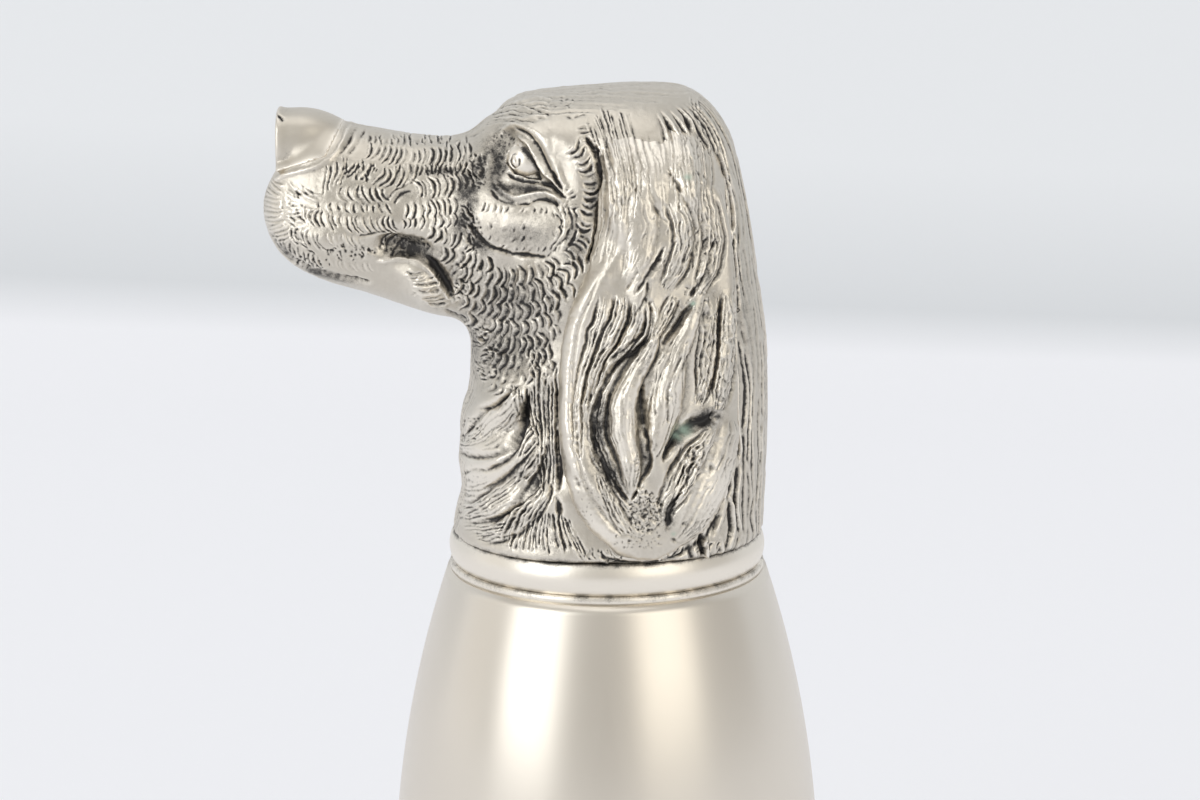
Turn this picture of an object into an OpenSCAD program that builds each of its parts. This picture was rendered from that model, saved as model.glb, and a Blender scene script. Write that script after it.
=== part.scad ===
// Stirrup cup with a gun dog's head, standing on its mouth as it is stored.
// A spun cup and a stepped collar carry a hollow head, cast in two halves with applied ears.
// Millimetres. The mouth lies at z = 0 round the Z axis, and the muzzle points along -X.

/* [Cup] */
// Outer diameter of the mouth
mouth_d = 62; // [58:0.5:68]
// Height from the mouth to the flat closed end
cup_h = 72; // [64:0.5:84]
// Height of the straight skirt above the mouth
skirt_h = 22; // [14:0.5:30]
// Outer diameter of the flat closed end
shoulder_d = 45.8; // [45:0.1:50]
// Thickness of the spun sheet
cup_wall = 1.2; // [0.8:0.1:1.8]
// Diameter of the half-round wire round the lip
rim_wire_d = 2.4; // [1.6:0.1:3.2]

/* [Collar] */
// Outer diameter of the rounded band
collar_d = 45.2; // [42:0.2:48]
// Height of the rounded band
collar_h = 4.6; // [3.6:0.1:6]
// How far the band swells beyond its edges
collar_swell = 0.7; // [0.3:0.1:1]
// How far the thin step stands out past the band's edges
step_lip = 0.6; // [0.2:0.1:0.8]
// Height of the thin step under the band
step_h = 1.2; // [0.8:0.1:1.8]
// Height of the spigot inside the neck
spigot_h = 3; // [2:0.1:4]
// Wall of the spigot
spigot_wall = 1.6; // [1.2:0.1:2.2]
// Clearance all round in a soldered joint
solder_gap = 0.05; // [0.03:0.01:0.1]

/* [Head] */
// Height of the head above the collar
head_h = 63.8; // [56:0.2:72]
// Reach of the muzzle, from the cup's axis to the lips
muzzle_reach = 48.2; // [43:0.2:54]
// Width across the upper lips
muzzle_w = 20.4; // [18:0.2:23]
// Wall of the hollow casting
head_wall = 2.4; // [1.8:0.1:3]
// Diameter of each eye bead
eye_d = 7; // [6:0.1:8]
// How far each eye bead is sunk behind the skull's surface
eye_depth = 2.6; // [2:0.1:3]
// Length of the polished nose along the bridge
nose_l = 9.2; // [7:0.1:11]
// Height of the polished nose at its front
nose_h = 9; // [7.5:0.1:10]
// Width of the polished nose
nose_w = 11.4; // [9:0.1:13]

/* [Ears] */
// Thickness of each ear where it is fullest
ear_t = 3.2; // [2.4:0.1:4]
// Radius of the rolled edge round each ear
ear_roll_r = 1.3; // [0.9:0.1:1.7]
// Radius of the locks of hair down each ear
lock_r = 1.7; // [1.2:0.1:2.1]

/* [Hidden] */

// Facets of the turned pieces, of the head's and the nose's rings, of small sculpted balls
// and of the eye sockets
$fn = 96;
ring_n = 64;
nose_n = 32;
ball_n = 12;
socket_n = 32;
// Rings between two stations of the skull and the muzzle
ring_steps = 3;
// Rings between two stations of an ear or the nose, and balls between two points of a lock or a lid
line_steps = 2;
// A cut runs this far past the face that it opens
cut_past = 1;

// Colours of the plated finishes
satin_silver = [0.80, 0.77, 0.72];
bright_silver = [0.78, 0.75, 0.70];
antique_silver = [0.66, 0.63, 0.58];

// Places that follow from the sizes
step_z = cup_h;
band_z = step_z + step_h;
head_z = band_z + collar_h;
band_edge_r = collar_d / 2 - collar_swell;
neck_r = band_edge_r + collar_swell / 2;
spigot_r = neck_r - head_wall - solder_gap;
cup_arc_h = cup_h - skirt_h;
cup_arc_drop = (mouth_d - shoulder_d) / 2;
cup_arc_r = (pow(cup_arc_h, 2) + pow(cup_arc_drop, 2)) / (2 * cup_arc_drop);
eye_r = eye_d / 2;

// Neck and skull, station by station up the head.
// Height as a share of head_h, then shares of the neck's radius:
// reach to the front, place of the widest point behind the axis, reach to the back, half width.
skull_stations = [
    [0.000, 1.000, 0.00, 1.000, 1.000],
    [0.095, 0.930, 0.02, 1.010, 0.955],
    [0.205, 0.945, 0.05, 1.025, 0.910],
    [0.315, 0.875, 0.09, 1.025, 0.865],
    [0.440, 0.875, 0.13, 1.010, 0.825],
    [0.565, 0.850, 0.13, 0.960, 0.800],
    [0.690, 0.780, 0.13, 0.905, 0.775],
    [0.800, 0.740, 0.13, 0.845, 0.745],
    [0.880, 0.735, 0.13, 0.785, 0.690],
    [0.935, 0.670, 0.13, 0.695, 0.580],
    [0.968, 0.548, 0.14, 0.605, 0.450],
    [0.985, 0.290, 0.18, 0.535, 0.310],
    [0.995, -0.040, 0.25, 0.470, 0.180],
    [1.000, -0.280, 0.33, 0.400, 0.040]];
// How square the skull's rings are: 2 is an ellipse
skull_square = 2.3;

// Muzzle, station by station from inside the skull to the lips.
// Share of the reach, then shares of head_h: lowest, widest and highest point; share of muzzle_w.
muzzle_stations = [
    [0.16, 0.490, 0.690, 0.955, 0.700],
    [0.33, 0.480, 0.680, 0.932, 0.640],
    [0.39, 0.482, 0.675, 0.897, 0.605],
    [0.46, 0.478, 0.665, 0.882, 0.565],
    [0.58, 0.505, 0.670, 0.889, 0.520],
    [0.70, 0.537, 0.680, 0.905, 0.500],
    [0.82, 0.563, 0.695, 0.918, 0.470],
    [0.91, 0.598, 0.705, 0.885, 0.405],
    [0.97, 0.645, 0.715, 0.830, 0.310],
    [1.00, 0.700, 0.730, 0.765, 0.130]];
muzzle_square = 2.2;
// The muzzle is solid beyond this share of its reach
hollow_to = 0.72;

// Nose, station by station from the bridge to its front.
// Share of nose_l behind the front; half width as a share of nose_w;
// lowest and highest point as shares of nose_h below the nose's top.
nose_stations = [
    [1.05, 0.20, 0.50, 0.24],
    [0.90, 0.32, 0.60, 0.13],
    [0.62, 0.44, 0.74, 0.02],
    [0.34, 0.49, 0.87, -0.02],
    [0.10, 0.47, 0.98, 0.01],
    [0.02, 0.43, 1.00, 0.05],
    [0.00, 0.39, 0.97, 0.09]];
nose_square = 2.6;
// Front of the nose as a share of the reach, and its top as a share of head_h
nose_front = 0.955;
nose_top = 0.942;

// Ear, station by station down its length.
// Height as a share of head_h; front and back edge as shares of the neck's radius; share of ear_t.
ear_stations = [
    [0.965, -0.05, 0.48, 0.15],
    [0.925, -0.09, 0.62, 0.60],
    [0.860, -0.06, 0.72, 0.85],
    [0.780, -0.03, 0.75, 0.95],
    [0.690, -0.06, 0.77, 1.00],
    [0.600, -0.13, 0.79, 1.05],
    [0.500, -0.24, 0.82, 1.10],
    [0.390, -0.28, 0.83, 1.10],
    [0.290, -0.29, 0.83, 1.05],
    [0.200, -0.26, 0.80, 0.98],
    [0.130, -0.20, 0.74, 0.88],
    [0.070, -0.07, 0.62, 0.75],
    [0.032, 0.07, 0.46, 0.60],
    [0.012, 0.15, 0.33, 0.45]];
// The front edge is rolled from here down, as shares of head_h
ear_roll_from = 0.80;
ear_roll_to = 0.03;
ear_roll_steps = 9;
// How far an ear's form runs into the head before the head is cut from it
ear_embed = 1.6;
// Points across an ear, and how square its cross-section is
ear_cols = 14;
ear_square = 4;

// Locks of hair on an ear, from the root to the tip.
// Distance behind the axis as a share of the neck's radius; height as a share of head_h.
ear_locks = [
    [[0.10, 0.90], [0.06, 0.80], [0.12, 0.70]],
    [[0.44, 0.92], [0.48, 0.80], [0.40, 0.66]],
    [[0.04, 0.66], [-0.10, 0.56], [-0.17, 0.45], [-0.19, 0.32], [-0.13, 0.21], [0.03, 0.13]],
    [[0.26, 0.68], [0.20, 0.58], [0.31, 0.47], [0.11, 0.36], [0.11, 0.26], [0.20, 0.16]],
    [[0.57, 0.66], [0.51, 0.51], [0.39, 0.40], [0.27, 0.28], [0.36, 0.18]],
    [[0.66, 0.79], [0.72, 0.58], [0.62, 0.32], [0.50, 0.19], [0.42, 0.09]]];
// A lock stands this share of its radius out of the ear
lock_out = 0.55;

// Swells and hollows of the skull and neck, alike on both sides.
// Distance in front of the axis as a share of the neck's radius, height as a share of head_h,
// half length and half breadth as shares of the neck's radius, tilt that lowers the back end,
// rise as a share of the eye's radius (below 0 for a hollow).
skull_swells = [
    // brow, hollow of the eye, bag under the eye and the crease below the bag
    [0.44, 0.930, 0.26, 0.11, 14, 0.42],
    [0.48, 0.852, 0.21, 0.12, 34, -0.50],
    [0.54, 0.736, 0.26, 0.13, 6, 0.55],
    [0.60, 0.662, 0.30, 0.06, 8, -0.30],
    // cheek, and the groove in front of the ear
    [0.30, 0.600, 0.26, 0.28, 0, 0.40],
    [0.07, 0.800, 0.07, 0.40, 0, -0.30],
    // throat, and tufts of hair swept forward down the neck
    [0.66, 0.480, 0.30, 0.20, 0, -0.20],
    [0.62, 0.340, 0.36, 0.075, -38, 0.50],
    [0.60, 0.285, 0.36, 0.055, -36, -0.28],
    [0.56, 0.225, 0.34, 0.075, -30, 0.45],
    [0.54, 0.165, 0.34, 0.050, -26, -0.28],
    [0.52, 0.110, 0.34, 0.070, -18, 0.35]];
// The same for the muzzle, with the share of the reach in the first place
muzzle_swells = [
    // upper lip at the front and along the side, and the ridge behind the nose
    [0.86, 0.668, 0.26, 0.17, -10, 0.38],
    [0.70, 0.690, 0.22, 0.13, 4, 0.22],
    [0.86, 0.850, 0.24, 0.05, -34, 0.16],
    // mouth, its corner, and the fold of the lower lip
    [0.60, 0.664, 0.20, 0.07, 6, -0.42],
    [0.475, 0.600, 0.07, 0.15, 0, -0.38],
    [0.545, 0.578, 0.15, 0.10, 30, 0.46]];

// Lids of an eye: distance in front of the axis, height
upper_lid = [[0.65, 0.850], [0.55, 0.896], [0.41, 0.872], [0.25, 0.786]];
lower_lid = [[0.65, 0.846], [0.56, 0.812], [0.42, 0.794], [0.25, 0.786]];
// Radius of a lid, and the share of it that stands out of the surface
lid_r = 0.8;
lid_out = 0.6;
// Radius at both ends of a lid or a lock, as a share of its full radius
tip_share = 0.6;
eye_place = [0.48, 0.848];

// Smooth curve through a list of values or vectors, at a place counted in list steps
function curve_part(a, b, c, d, t) =
    (2 * b + (c - a) * t + (2 * a - 5 * b + 4 * c - d) * pow(t, 2)
        + (3 * b - a - 3 * c + d) * pow(t, 3)) / 2;
function on_curve(list, u) =
    let (last = len(list) - 1, i = min(floor(u), last - 1))
    curve_part(list[max(i - 1, 0)], list[i], list[i + 1], list[min(i + 2, last)], u - i);
function smoothed(list, steps) =
    [for (k = [0 : (len(list) - 1) * steps]) on_curve(list, k / steps)];
function bent(value, power) = sign(value) * pow(abs(value), power);
// One column of a station table, looked up by height
function at_height(stations, height, column) =
    lookup(height, [for (s = stations) [s[0], s[column]]]);

// Rise of one swell at a place, and of all the swells of a list; x counts forward from the axis
function swell(f, x, z, reach) =
    let (dx = f[0] * reach - x, dz = z - f[1] * head_h,
         u = dx * cos(f[4]) - dz * sin(f[4]), v = dx * sin(f[4]) + dz * cos(f[4]))
    f[5] * eye_r * exp(-pow(u / (f[2] * neck_r), 2) - pow(v / (f[3] * neck_r), 2));
function swells(list, x, z, reach) = [for (f = list) swell(f, x, z, reach)] * [for (f = list) 1];

// A point moved away from a middle in the same plane
function pushed(point, middle, rise) =
    point + rise * (point - middle) / max(norm(point - middle), solder_gap);

// One ring of the skull; an inset makes the ring of the hollow inside it
function skull_ring(s, inset) =
    let (front = s[1] * neck_r - inset, wide = s[2] * neck_r, back = s[3] * neck_r - inset,
         half = s[4] * neck_r - inset, z = s[0] * (head_h - inset))
    [for (i = [0 : ring_n - 1])
        let (a = 360 * i / ring_n,
             c = bent(cos(a), 2 / skull_square), d = bent(sin(a), 2 / skull_square),
             p = [wide + c * (c < 0 ? front + wide : back - wide), half * d, z])
        inset > 0 ? p : pushed(p, [wide, 0, z], swells(skull_swells, -p[0], z, neck_r))];

// Half width of the skull's surface at a distance behind the axis and a height share
function skull_side(x, height) =
    let (wide = at_height(skull_stations, height, 2) * neck_r,
         reach = x < wide ? at_height(skull_stations, height, 1) * neck_r + wide
                          : at_height(skull_stations, height, 3) * neck_r - wide,
         share = min(abs(x - wide) / reach, 1),
         half = at_height(skull_stations, height, 4) * neck_r)
    half * pow(1 - pow(share, skull_square), 1 / skull_square)
        + swells(skull_swells, -x, height * head_h, neck_r);

// One ring of the muzzle, facing along -X
function muzzle_ring(s, inset) =
    let (low = s[1] * head_h + inset, mid = s[2] * head_h, high = s[3] * head_h - inset,
         half = s[4] * muzzle_w - inset, x = s[0] * (muzzle_reach - inset))
    [for (i = [0 : ring_n - 1])
        let (a = 360 * i / ring_n,
             c = bent(cos(a), 2 / muzzle_square), d = bent(sin(a), 2 / muzzle_square),
             p = [-x, -half * c, mid + d * (d < 0 ? mid - low : high - mid)])
        inset > 0 ? p : pushed(p, [-x, 0, mid], swells(muzzle_swells, x, p[2], muzzle_reach) * abs(c))];

// A closed skin over a row of rings with equal numbers of points
module loft(rings) {
    n = len(rings[0]);
    last = len(rings) - 1;
    points = [for (r = rings) each r];
    sides = [for (k = [0 : last - 1], i = [0 : n - 1])
        let (j = (i + 1) % n)
        each [[k * n + i, (k + 1) * n + j, k * n + j], [k * n + i, (k + 1) * n + i, (k + 1) * n + j]]];
    first_cap = [for (i = [0 : n - 1]) i];
    last_cap = [for (i = [n - 1 : -1 : 0]) last * n + i];
    polyhedron(points, concat([first_cap], sides, [last_cap]));
}

// A rounded roll through balls, each a point and a radius
module roll(balls) {
    for (i = [0 : len(balls) - 2])
        hull() {
            translate(balls[i][0]) sphere(balls[i][1], $fn = ball_n);
            translate(balls[i + 1][0]) sphere(balls[i + 1][1], $fn = ball_n);
        }
}

// Balls along a lid on the side at -Y, thinner at both ends
function end_taper(k, last) = k == 0 || k == last ? tip_share : 1;
function lid_balls(line) =
    let (fine = smoothed(line, line_steps), last = len(fine) - 1)
    [for (k = [0 : last])
        let (x = -fine[k][0] * neck_r, height = fine[k][1])
        [[x, lid_r * (1 - lid_out) - skull_side(x, height), height * head_h], lid_r * end_taper(k, last)]];

eye_x = -eye_place[0] * neck_r;
eye_at = [eye_x, -(skull_side(eye_x, eye_place[1]) - eye_depth), eye_place[1] * head_h];

// One ring of the nose, facing along -X
function nose_ring(s) =
    let (x = nose_front * muzzle_reach - s[0] * nose_l, half = s[1] * nose_w,
         low = nose_top * head_h - s[2] * nose_h, high = nose_top * head_h - s[3] * nose_h)
    [for (i = [0 : nose_n - 1])
        let (a = 360 * i / nose_n, c = bent(cos(a), 2 / nose_square), d = bent(sin(a), 2 / nose_square))
        [-x, -half * c, (low + high + d * (high - low)) / 2]];

module nose_form() {
    loft([for (s = smoothed(nose_stations, line_steps)) nose_ring(s)]);
}

// Outside of the whole head, ears apart
module head_form() {
    loft([for (s = smoothed(skull_stations, ring_steps)) skull_ring(s, 0)]);
    loft([for (s = smoothed(muzzle_stations, ring_steps)) muzzle_ring(s, 0)]);
    for (side = [0, 1], lid = [upper_lid, lower_lid]) mirror([0, side, 0]) roll(lid_balls(lid));
}

// Hollow inside the head: a wall is left behind each eye, and the foot is a round seat for the spigot
module head_hollow() {
    difference() {
        union() {
            loft([for (s = skull_stations) if (s[4] * neck_r > 2 * head_wall) skull_ring(s, head_wall)]);
            loft([for (s = muzzle_stations) if (s[0] <= hollow_to) muzzle_ring(s, head_wall)]);
        }
        translate(eye_at) sphere(eye_r + head_wall, $fn = ball_n);
    }
    translate([0, 0, -cut_past]) cylinder(h = spigot_h + solder_gap + cut_past, r = spigot_r + solder_gap);
}

// The half of the head at -Y, with sockets for the eye and the nose
module head_half() {
    size = 2 * (head_h + muzzle_reach);
    translate([0, 0, head_z])
        intersection() {
            difference() {
                head_form();
                head_hollow();
                nose_form();
                translate(eye_at) sphere(eye_r + solder_gap, $fn = socket_n);
            }
            translate([-size / 2, -size, -size / 2]) cube(size);
        }
}

// How full an ear is at a place across it, from -1 at the front edge to 1 at the back
function fullness(across) = sqrt(max(1 - pow(abs(across), ear_square), 0));
// One cross-section of the ear at -Y: out along its face and back inside the head
function ear_ring(s) =
    let (front = s[1] * neck_r, back = s[2] * neck_r, t = s[3] * ear_t)
    [for (i = [0 : 2 * ear_cols - 1])
        let (outside = i < ear_cols,
             k = outside ? i : 2 * ear_cols - 1 - i,
             across = -cos(180 * k / (ear_cols - 1)),
             x = (front + back) / 2 + across * (back - front) / 2,
             y = skull_side(x, s[0]) + (outside ? t * fullness(across) : -ear_embed))
        [x, -y, s[0] * head_h]];

// A ball on the ear's face at a distance behind the axis, sunk by a share of its radius
function ear_ball(x, height, r, out) =
    let (front = at_height(ear_stations, height, 1) * neck_r,
         back = at_height(ear_stations, height, 2) * neck_r,
         t = at_height(ear_stations, height, 3) * ear_t,
         y = skull_side(x, height) + t * fullness((2 * x - front - back) / (back - front)) - r * (1 - out))
    [[x, -y, height * head_h], r];
function lock_balls(lock) =
    let (fine = smoothed(lock, line_steps), last = len(fine) - 1)
    [for (k = [0 : last])
        ear_ball(fine[k][0] * neck_r, fine[k][1], lock_r * end_taper(k, last), lock_out)];
// Balls of the rolled front edge
function edge_balls() =
    [for (k = [0 : ear_roll_steps])
        let (height = ear_roll_from + (ear_roll_to - ear_roll_from) * k / ear_roll_steps,
             front = at_height(ear_stations, height, 1) * neck_r)
        ear_ball(front + ear_roll_r / 2, height, ear_roll_r, 0)];

module ear_form() {
    rings = smoothed(ear_stations, line_steps);
    loft([for (k = [len(rings) - 1 : -1 : 0]) ear_ring(rings[k])]);
    roll(edge_balls());
    for (lock = ear_locks) roll(lock_balls(lock));
}

// The ear at -Y, seated on the outside of the head and clear of the collar
module ear_half() {
    size = 2 * (head_h + muzzle_reach);
    translate([0, 0, head_z])
        difference() {
            ear_form();
            head_form();
            translate([-size / 2, -size / 2, -size]) cube(size);
        }
}

// Profile of the cup's wall: an arc that runs into the straight skirt
module cup_profile(inset) {
    r = mouth_d / 2 - inset;
    square([r, skirt_h]);
    intersection() {
        translate([mouth_d / 2 - cup_arc_r, skirt_h]) circle(cup_arc_r - inset);
        translate([0, skirt_h]) square([r, cup_arc_h - inset]);
    }
}

module cup_shell() {
    color(satin_silver)
        rotate_extrude()
            difference() {
                cup_profile(0);
                cup_profile(cup_wall);
            }
}

module rim_wire() {
    color(bright_silver)
        rotate_extrude()
            intersection() {
                translate([mouth_d / 2, rim_wire_d / 2]) circle(rim_wire_d / 2);
                translate([mouth_d / 2, 0]) square(rim_wire_d);
            }
}

// Thin step on the cup's end, with the spigot that centres the band and the head
module collar_step() {
    color(bright_silver)
        translate([0, 0, step_z])
            rotate_extrude() {
                translate([spigot_r - spigot_wall, 0])
                    square([band_edge_r + step_lip - spigot_r + spigot_wall, step_h]);
                translate([spigot_r - spigot_wall, 0])
                    square([spigot_wall, step_h + collar_h + spigot_h]);
            }
}

// Rounded band that covers the joint between cup and head
module collar_band() {
    inner = spigot_r + solder_gap;
    swell_r = (pow(collar_h / 2, 2) + pow(collar_swell, 2)) / (2 * collar_swell);
    color(bright_silver)
        translate([0, 0, band_z])
            rotate_extrude() {
                translate([inner, 0]) square([band_edge_r - inner, collar_h]);
                intersection() {
                    translate([collar_d / 2 - swell_r, collar_h / 2]) circle(swell_r);
                    translate([inner, 0]) square([collar_d / 2 - inner, collar_h]);
                }
            }
}

module head_left() { color(antique_silver) head_half(); }
module head_right() { color(antique_silver) mirror([0, 1, 0]) head_half(); }
module nose_plug() { color(bright_silver) translate([0, 0, head_z]) nose_form(); }
module eye_left() { color(bright_silver) translate([0, 0, head_z]) translate(eye_at) sphere(eye_r); }
module eye_right() { mirror([0, 1, 0]) eye_left(); }
module ear_left() { color(antique_silver) ear_half(); }
module ear_right() { color(antique_silver) mirror([0, 1, 0]) ear_half(); }

cup_shell();
rim_wire();
collar_step();
collar_band();
head_left();
head_right();
nose_plug();
eye_left();
eye_right();
ear_left();
ear_right();
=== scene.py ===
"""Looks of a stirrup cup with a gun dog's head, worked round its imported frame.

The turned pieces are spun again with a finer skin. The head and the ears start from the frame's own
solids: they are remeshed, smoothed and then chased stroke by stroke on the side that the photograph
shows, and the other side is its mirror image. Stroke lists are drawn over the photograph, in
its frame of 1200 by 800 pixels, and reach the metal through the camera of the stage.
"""
import math

import bmesh
import bpy
import numpy as np
from bpy.props import FloatProperty, FloatVectorProperty, IntProperty, PointerProperty
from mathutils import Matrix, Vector


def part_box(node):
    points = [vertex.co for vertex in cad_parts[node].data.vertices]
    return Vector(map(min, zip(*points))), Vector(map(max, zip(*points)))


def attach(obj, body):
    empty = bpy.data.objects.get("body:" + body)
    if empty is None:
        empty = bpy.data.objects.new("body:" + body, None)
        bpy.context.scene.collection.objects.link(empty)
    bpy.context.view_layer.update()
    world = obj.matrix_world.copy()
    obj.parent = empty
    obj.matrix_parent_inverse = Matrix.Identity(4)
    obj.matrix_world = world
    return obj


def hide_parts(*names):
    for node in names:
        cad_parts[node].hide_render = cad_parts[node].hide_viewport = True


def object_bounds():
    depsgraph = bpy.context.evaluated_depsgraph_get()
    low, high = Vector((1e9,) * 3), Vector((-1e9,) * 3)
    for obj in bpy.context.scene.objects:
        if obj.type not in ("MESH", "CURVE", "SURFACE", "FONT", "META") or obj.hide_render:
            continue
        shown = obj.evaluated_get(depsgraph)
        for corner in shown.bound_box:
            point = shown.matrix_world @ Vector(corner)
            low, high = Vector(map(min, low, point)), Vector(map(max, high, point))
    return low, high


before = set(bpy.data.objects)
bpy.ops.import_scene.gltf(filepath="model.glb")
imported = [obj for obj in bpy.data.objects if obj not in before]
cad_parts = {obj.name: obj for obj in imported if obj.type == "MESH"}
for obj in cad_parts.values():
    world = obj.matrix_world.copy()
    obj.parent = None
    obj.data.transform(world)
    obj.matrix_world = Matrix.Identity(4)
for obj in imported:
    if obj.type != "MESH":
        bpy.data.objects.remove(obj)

bl_info = {
    "name": "Stirrup cup looks",
    "version": (1, 0, 0),
    "blender": (4, 5, 0),
    "location": "View3D > Sidebar > Stirrup cup",
    "description": "Dresses the frame of a stirrup cup in worn silver plate",
    "category": "Object",
}

CAD_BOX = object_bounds()
MM = 0.001
PHOTO_WIDE = 1200
PHOTO_HIGH = 800
SENSOR_WIDE = 36.0

# One pixel of the photograph on the middle plane of the cup, and the head's radius in such pixels
PIXEL = 0.00014
PIXELS_ROUND = 159
# Distances under which points are one, and a distance that nothing reaches
SAME = 1e-6
CUT_GRAIN = 1e-7
FAR = 1e9
# Half width of a chased hair in pixels, and how much thicker a scale is
HAIR = 1.25
SCALE_THICK = 1.35
# First seed of each list of strokes
SEED = {"rows": 0, "scales": 30, "neck locks": 50, "fans": 100, "dashes": 150, "pits": 200,
        "ear locks": 250, "ear pits": 300, "ear dashes": 350}
# Layers of drift, each an amount, a size in pixels and a seed: waver of every stroke across and down the
# drawing, wear of the grooves, specks in the dirt and painted shade, grain of the cast skin, patches of dirt
# on the collar and the head's foot, and tufts at the ear's root
WAVER_ACROSS = ((1.0, 15, 1), (0.5, 6, 2), (0.4, 2.6, 11))
WAVER_DOWN = ((1.0, 15, 3), (0.5, 6, 4), (0.4, 2.6, 12))
WEAR = ((0.5, 7, 5), (0.25, 3, 6))
SPECKS = ((0.24, 2.4, 9), (0.12, 7, 10))
CAST_GRAIN = ((0.014, 2.6, 44), (0.018, 6, 45))
COLLAR_PATCHES = ((0.45, 8, 41),)
FOOT_PATCHES = ((0.4, 8, 42),)
ROOT_TUFTS = ((0.3, 9, 43),)
# What the layers of wear, specks and patches are laid on
WEAR_MEAN = 0.85
SPECK_MEAN = 0.9
PATCH_MEAN = 0.7
# How far the skin faces the lens where it starts to be seen and is seen wholly, and the same for strokes
SEEN_FACING = (0.05, 0.35)
DRAWN_FACING = (0.0, 0.16)
# Depth left at the tip of a stroke, half widths between which strokes wear, and where their lip stands
BLUNT = 0.3
WEARING = (4.0, 1.4)
BANK = 1.8
# A lock's soft ends as shares of its length, and its edge and the groove there in half breadths
LOCK_ENDS = (0.16, 0.20)
LOCK_EDGE = (1.12, 0.80)
LOCK_GROOVE = (1.08, 0.20)
# Height of the dirt at the head's foot in pixels, and its strength
FOOT_DIRT = (8, 0.8)
# Height in metres and strength of the dirt on the collar's band and on its step
BAND_DIRT = (0.0005, 0.7)
STEP_DIRT = (0.0003, 0.5)
# Hollows are found against a skin blurred a little and a lot: passes, height in millimetres and weight
HOLLOWS = ((6, 0.055, 0.55), (40, 0.24, 0.45))
# Darkening in the hollows of head and ears, partly tarnish and partly painted shade, what a stain adds, what
# rubbing takes off, and how bright ridges are made, partly worn polish and partly painted highlight
HEAD_HOLLOW_TARNISH_AND_SHADE = 0.76
EAR_HOLLOW_TARNISH_AND_SHADE = 0.42
STAIN_SHARE = 0.85
RUBBED_OFF = 0.5
RIDGE_WEAR_AND_HIGHLIGHT = 1.25
# Combed hair: its span from side to side in pixels, seed, half width of a hair and depth
BACK_COMB = ((1, 175), 90, 2.5, 0.56)
EAR_COMB = ((120, 300), 91, 2.5, 0.56)
TOP_COMB = ((1, 115), 92, 1.2, 0.06)
LIP_COMB = ((2, 80), 93, 1.4, 0.16)
CHEST_COMB = ((0, 200), 94, 1.4, 0.16)
# How far the skin faces back, up or to the front where combed hair starts and where it is full
BACK_FACING = (0.05, 0.40)
BACK_UPRIGHT = (0.90, 0.65)
TOP_FACING = (0.45, 0.75)
FRONT_FACING = (0.30, 0.70)
# Waver of combed hair, and how far from the seam it is full
COMB_WAVER = (5, 60, 7)
COMB_STRAIGHT = 40
# Clumps in the hair at the back: mean, drift, stretch down the head, least and most
CLUMP_MEAN = 0.85
CLUMPS = ((0.8, 22, 46),)
CLUMP_STRETCH = 4
CLUMP_LIMITS = (0.25, 1.4)
# Strength of the hair at the back on the seam, and between which places it grows to full strength
SEAM_SHARE = 0.4
SEAM_SPAN = (20, 80)
# The disc that closes the neck from below, how far it laps into the wall, and its facets
PLUG = 0.002
PLUG_LAP = 0.0007
PLUG_FACETS = 64
# Where the side of the nose lies, how far the muzzle is sunk under it, over which depth,
# and how proud it stands
NOSE_SIDE = -0.005
NOSE_SEAT = 0.9
NOSE_SEAT_EDGE = 0.0006
NOSE_PROUD = 0.06
# Passes that melt the back of the nose, where the plug and the muzzle meet
NOSE_MELT = 40
# The ear's root sinks into the crown between these rows of the photograph, this far, in stretched tufts
EAR_ROOT = (108, 205)
EAR_SINK = (0.0, 0.0023, -0.0004)
ROOT_STRETCH = 6
# Points on a turned arc and on the lip's wire, and facets round and down an eye
ARC_POINTS = 40
WIRE_POINTS = 24
EYE_FACETS = (200, 140)
# Table and wall: half width, height, front edge, radius of the bend, its step in degrees, and slant
TABLE_HALF = 2.4
WALL_TALL = 1.9
TABLE_FRONT = -1.4
BEND = 0.16
BEND_STEP = 6
TABLE_SLANT = 0.085
# Where the table's colour ends, the band is darkest and the wall's colour starts, and the paper's glow
BAND_STOPS = (0.47, 0.499, 0.58)
PAPER_GLOW = 0.7
# Nearest and farthest that the lens shows, where the lamps aim, and the room's colour and strength
CLIP = (0.01, 20.0)
LAMP_AIM = (0, 0, 0.10)
ROOM_COLOUR = (1.0, 0.985, 0.96, 1)
ROOM_STRENGTH = 0.56


# Settings that a user would change

def metres(label, text, default):
    """A length."""
    return FloatProperty(name=label, description=text, default=default, unit="LENGTH")


def plain(label, text, default):
    """A number without a unit."""
    return FloatProperty(name=label, description=text, default=default)


def whole(label, text, default):
    """A whole number."""
    return IntProperty(name=label, description=text, default=default)


def spot(label, text, default):
    """A place."""
    return FloatVectorProperty(name=label, description=text, default=default, subtype="TRANSLATION",
                               unit="LENGTH")


def tint(label, text, default):
    """A colour."""
    return FloatVectorProperty(name=label, description=text, default=default, subtype="COLOR", size=3)


class StageLook(bpy.types.PropertyGroup):
    """Camera, lamps and backdrop."""

    camera_place: spot("Camera place", "Where the photographer's lens stands",
                       (-0.000997, -0.507477, 0.209621))
    camera_aim: spot("Camera aim", "Point on the cup's axis that the lens looks at",
                     (-0.000997, 0.0, 0.096186))
    lens: plain("Lens", "Focal length on a sensor 36 mm wide, in millimetres", 109.5)
    backdrop: tint("Backdrop", "Colour of the wall behind the cup", (0.83, 0.85, 0.876))
    horizon: tint("Horizon", "Colour of the shaded band where table and wall meet", (0.718, 0.74, 0.765))
    table: tint("Table", "Colour of the table top", (0.90, 0.91, 0.945))
    table_depth: metres("Table depth", "From the cup's axis to the foot of the wall", 0.57)


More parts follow.
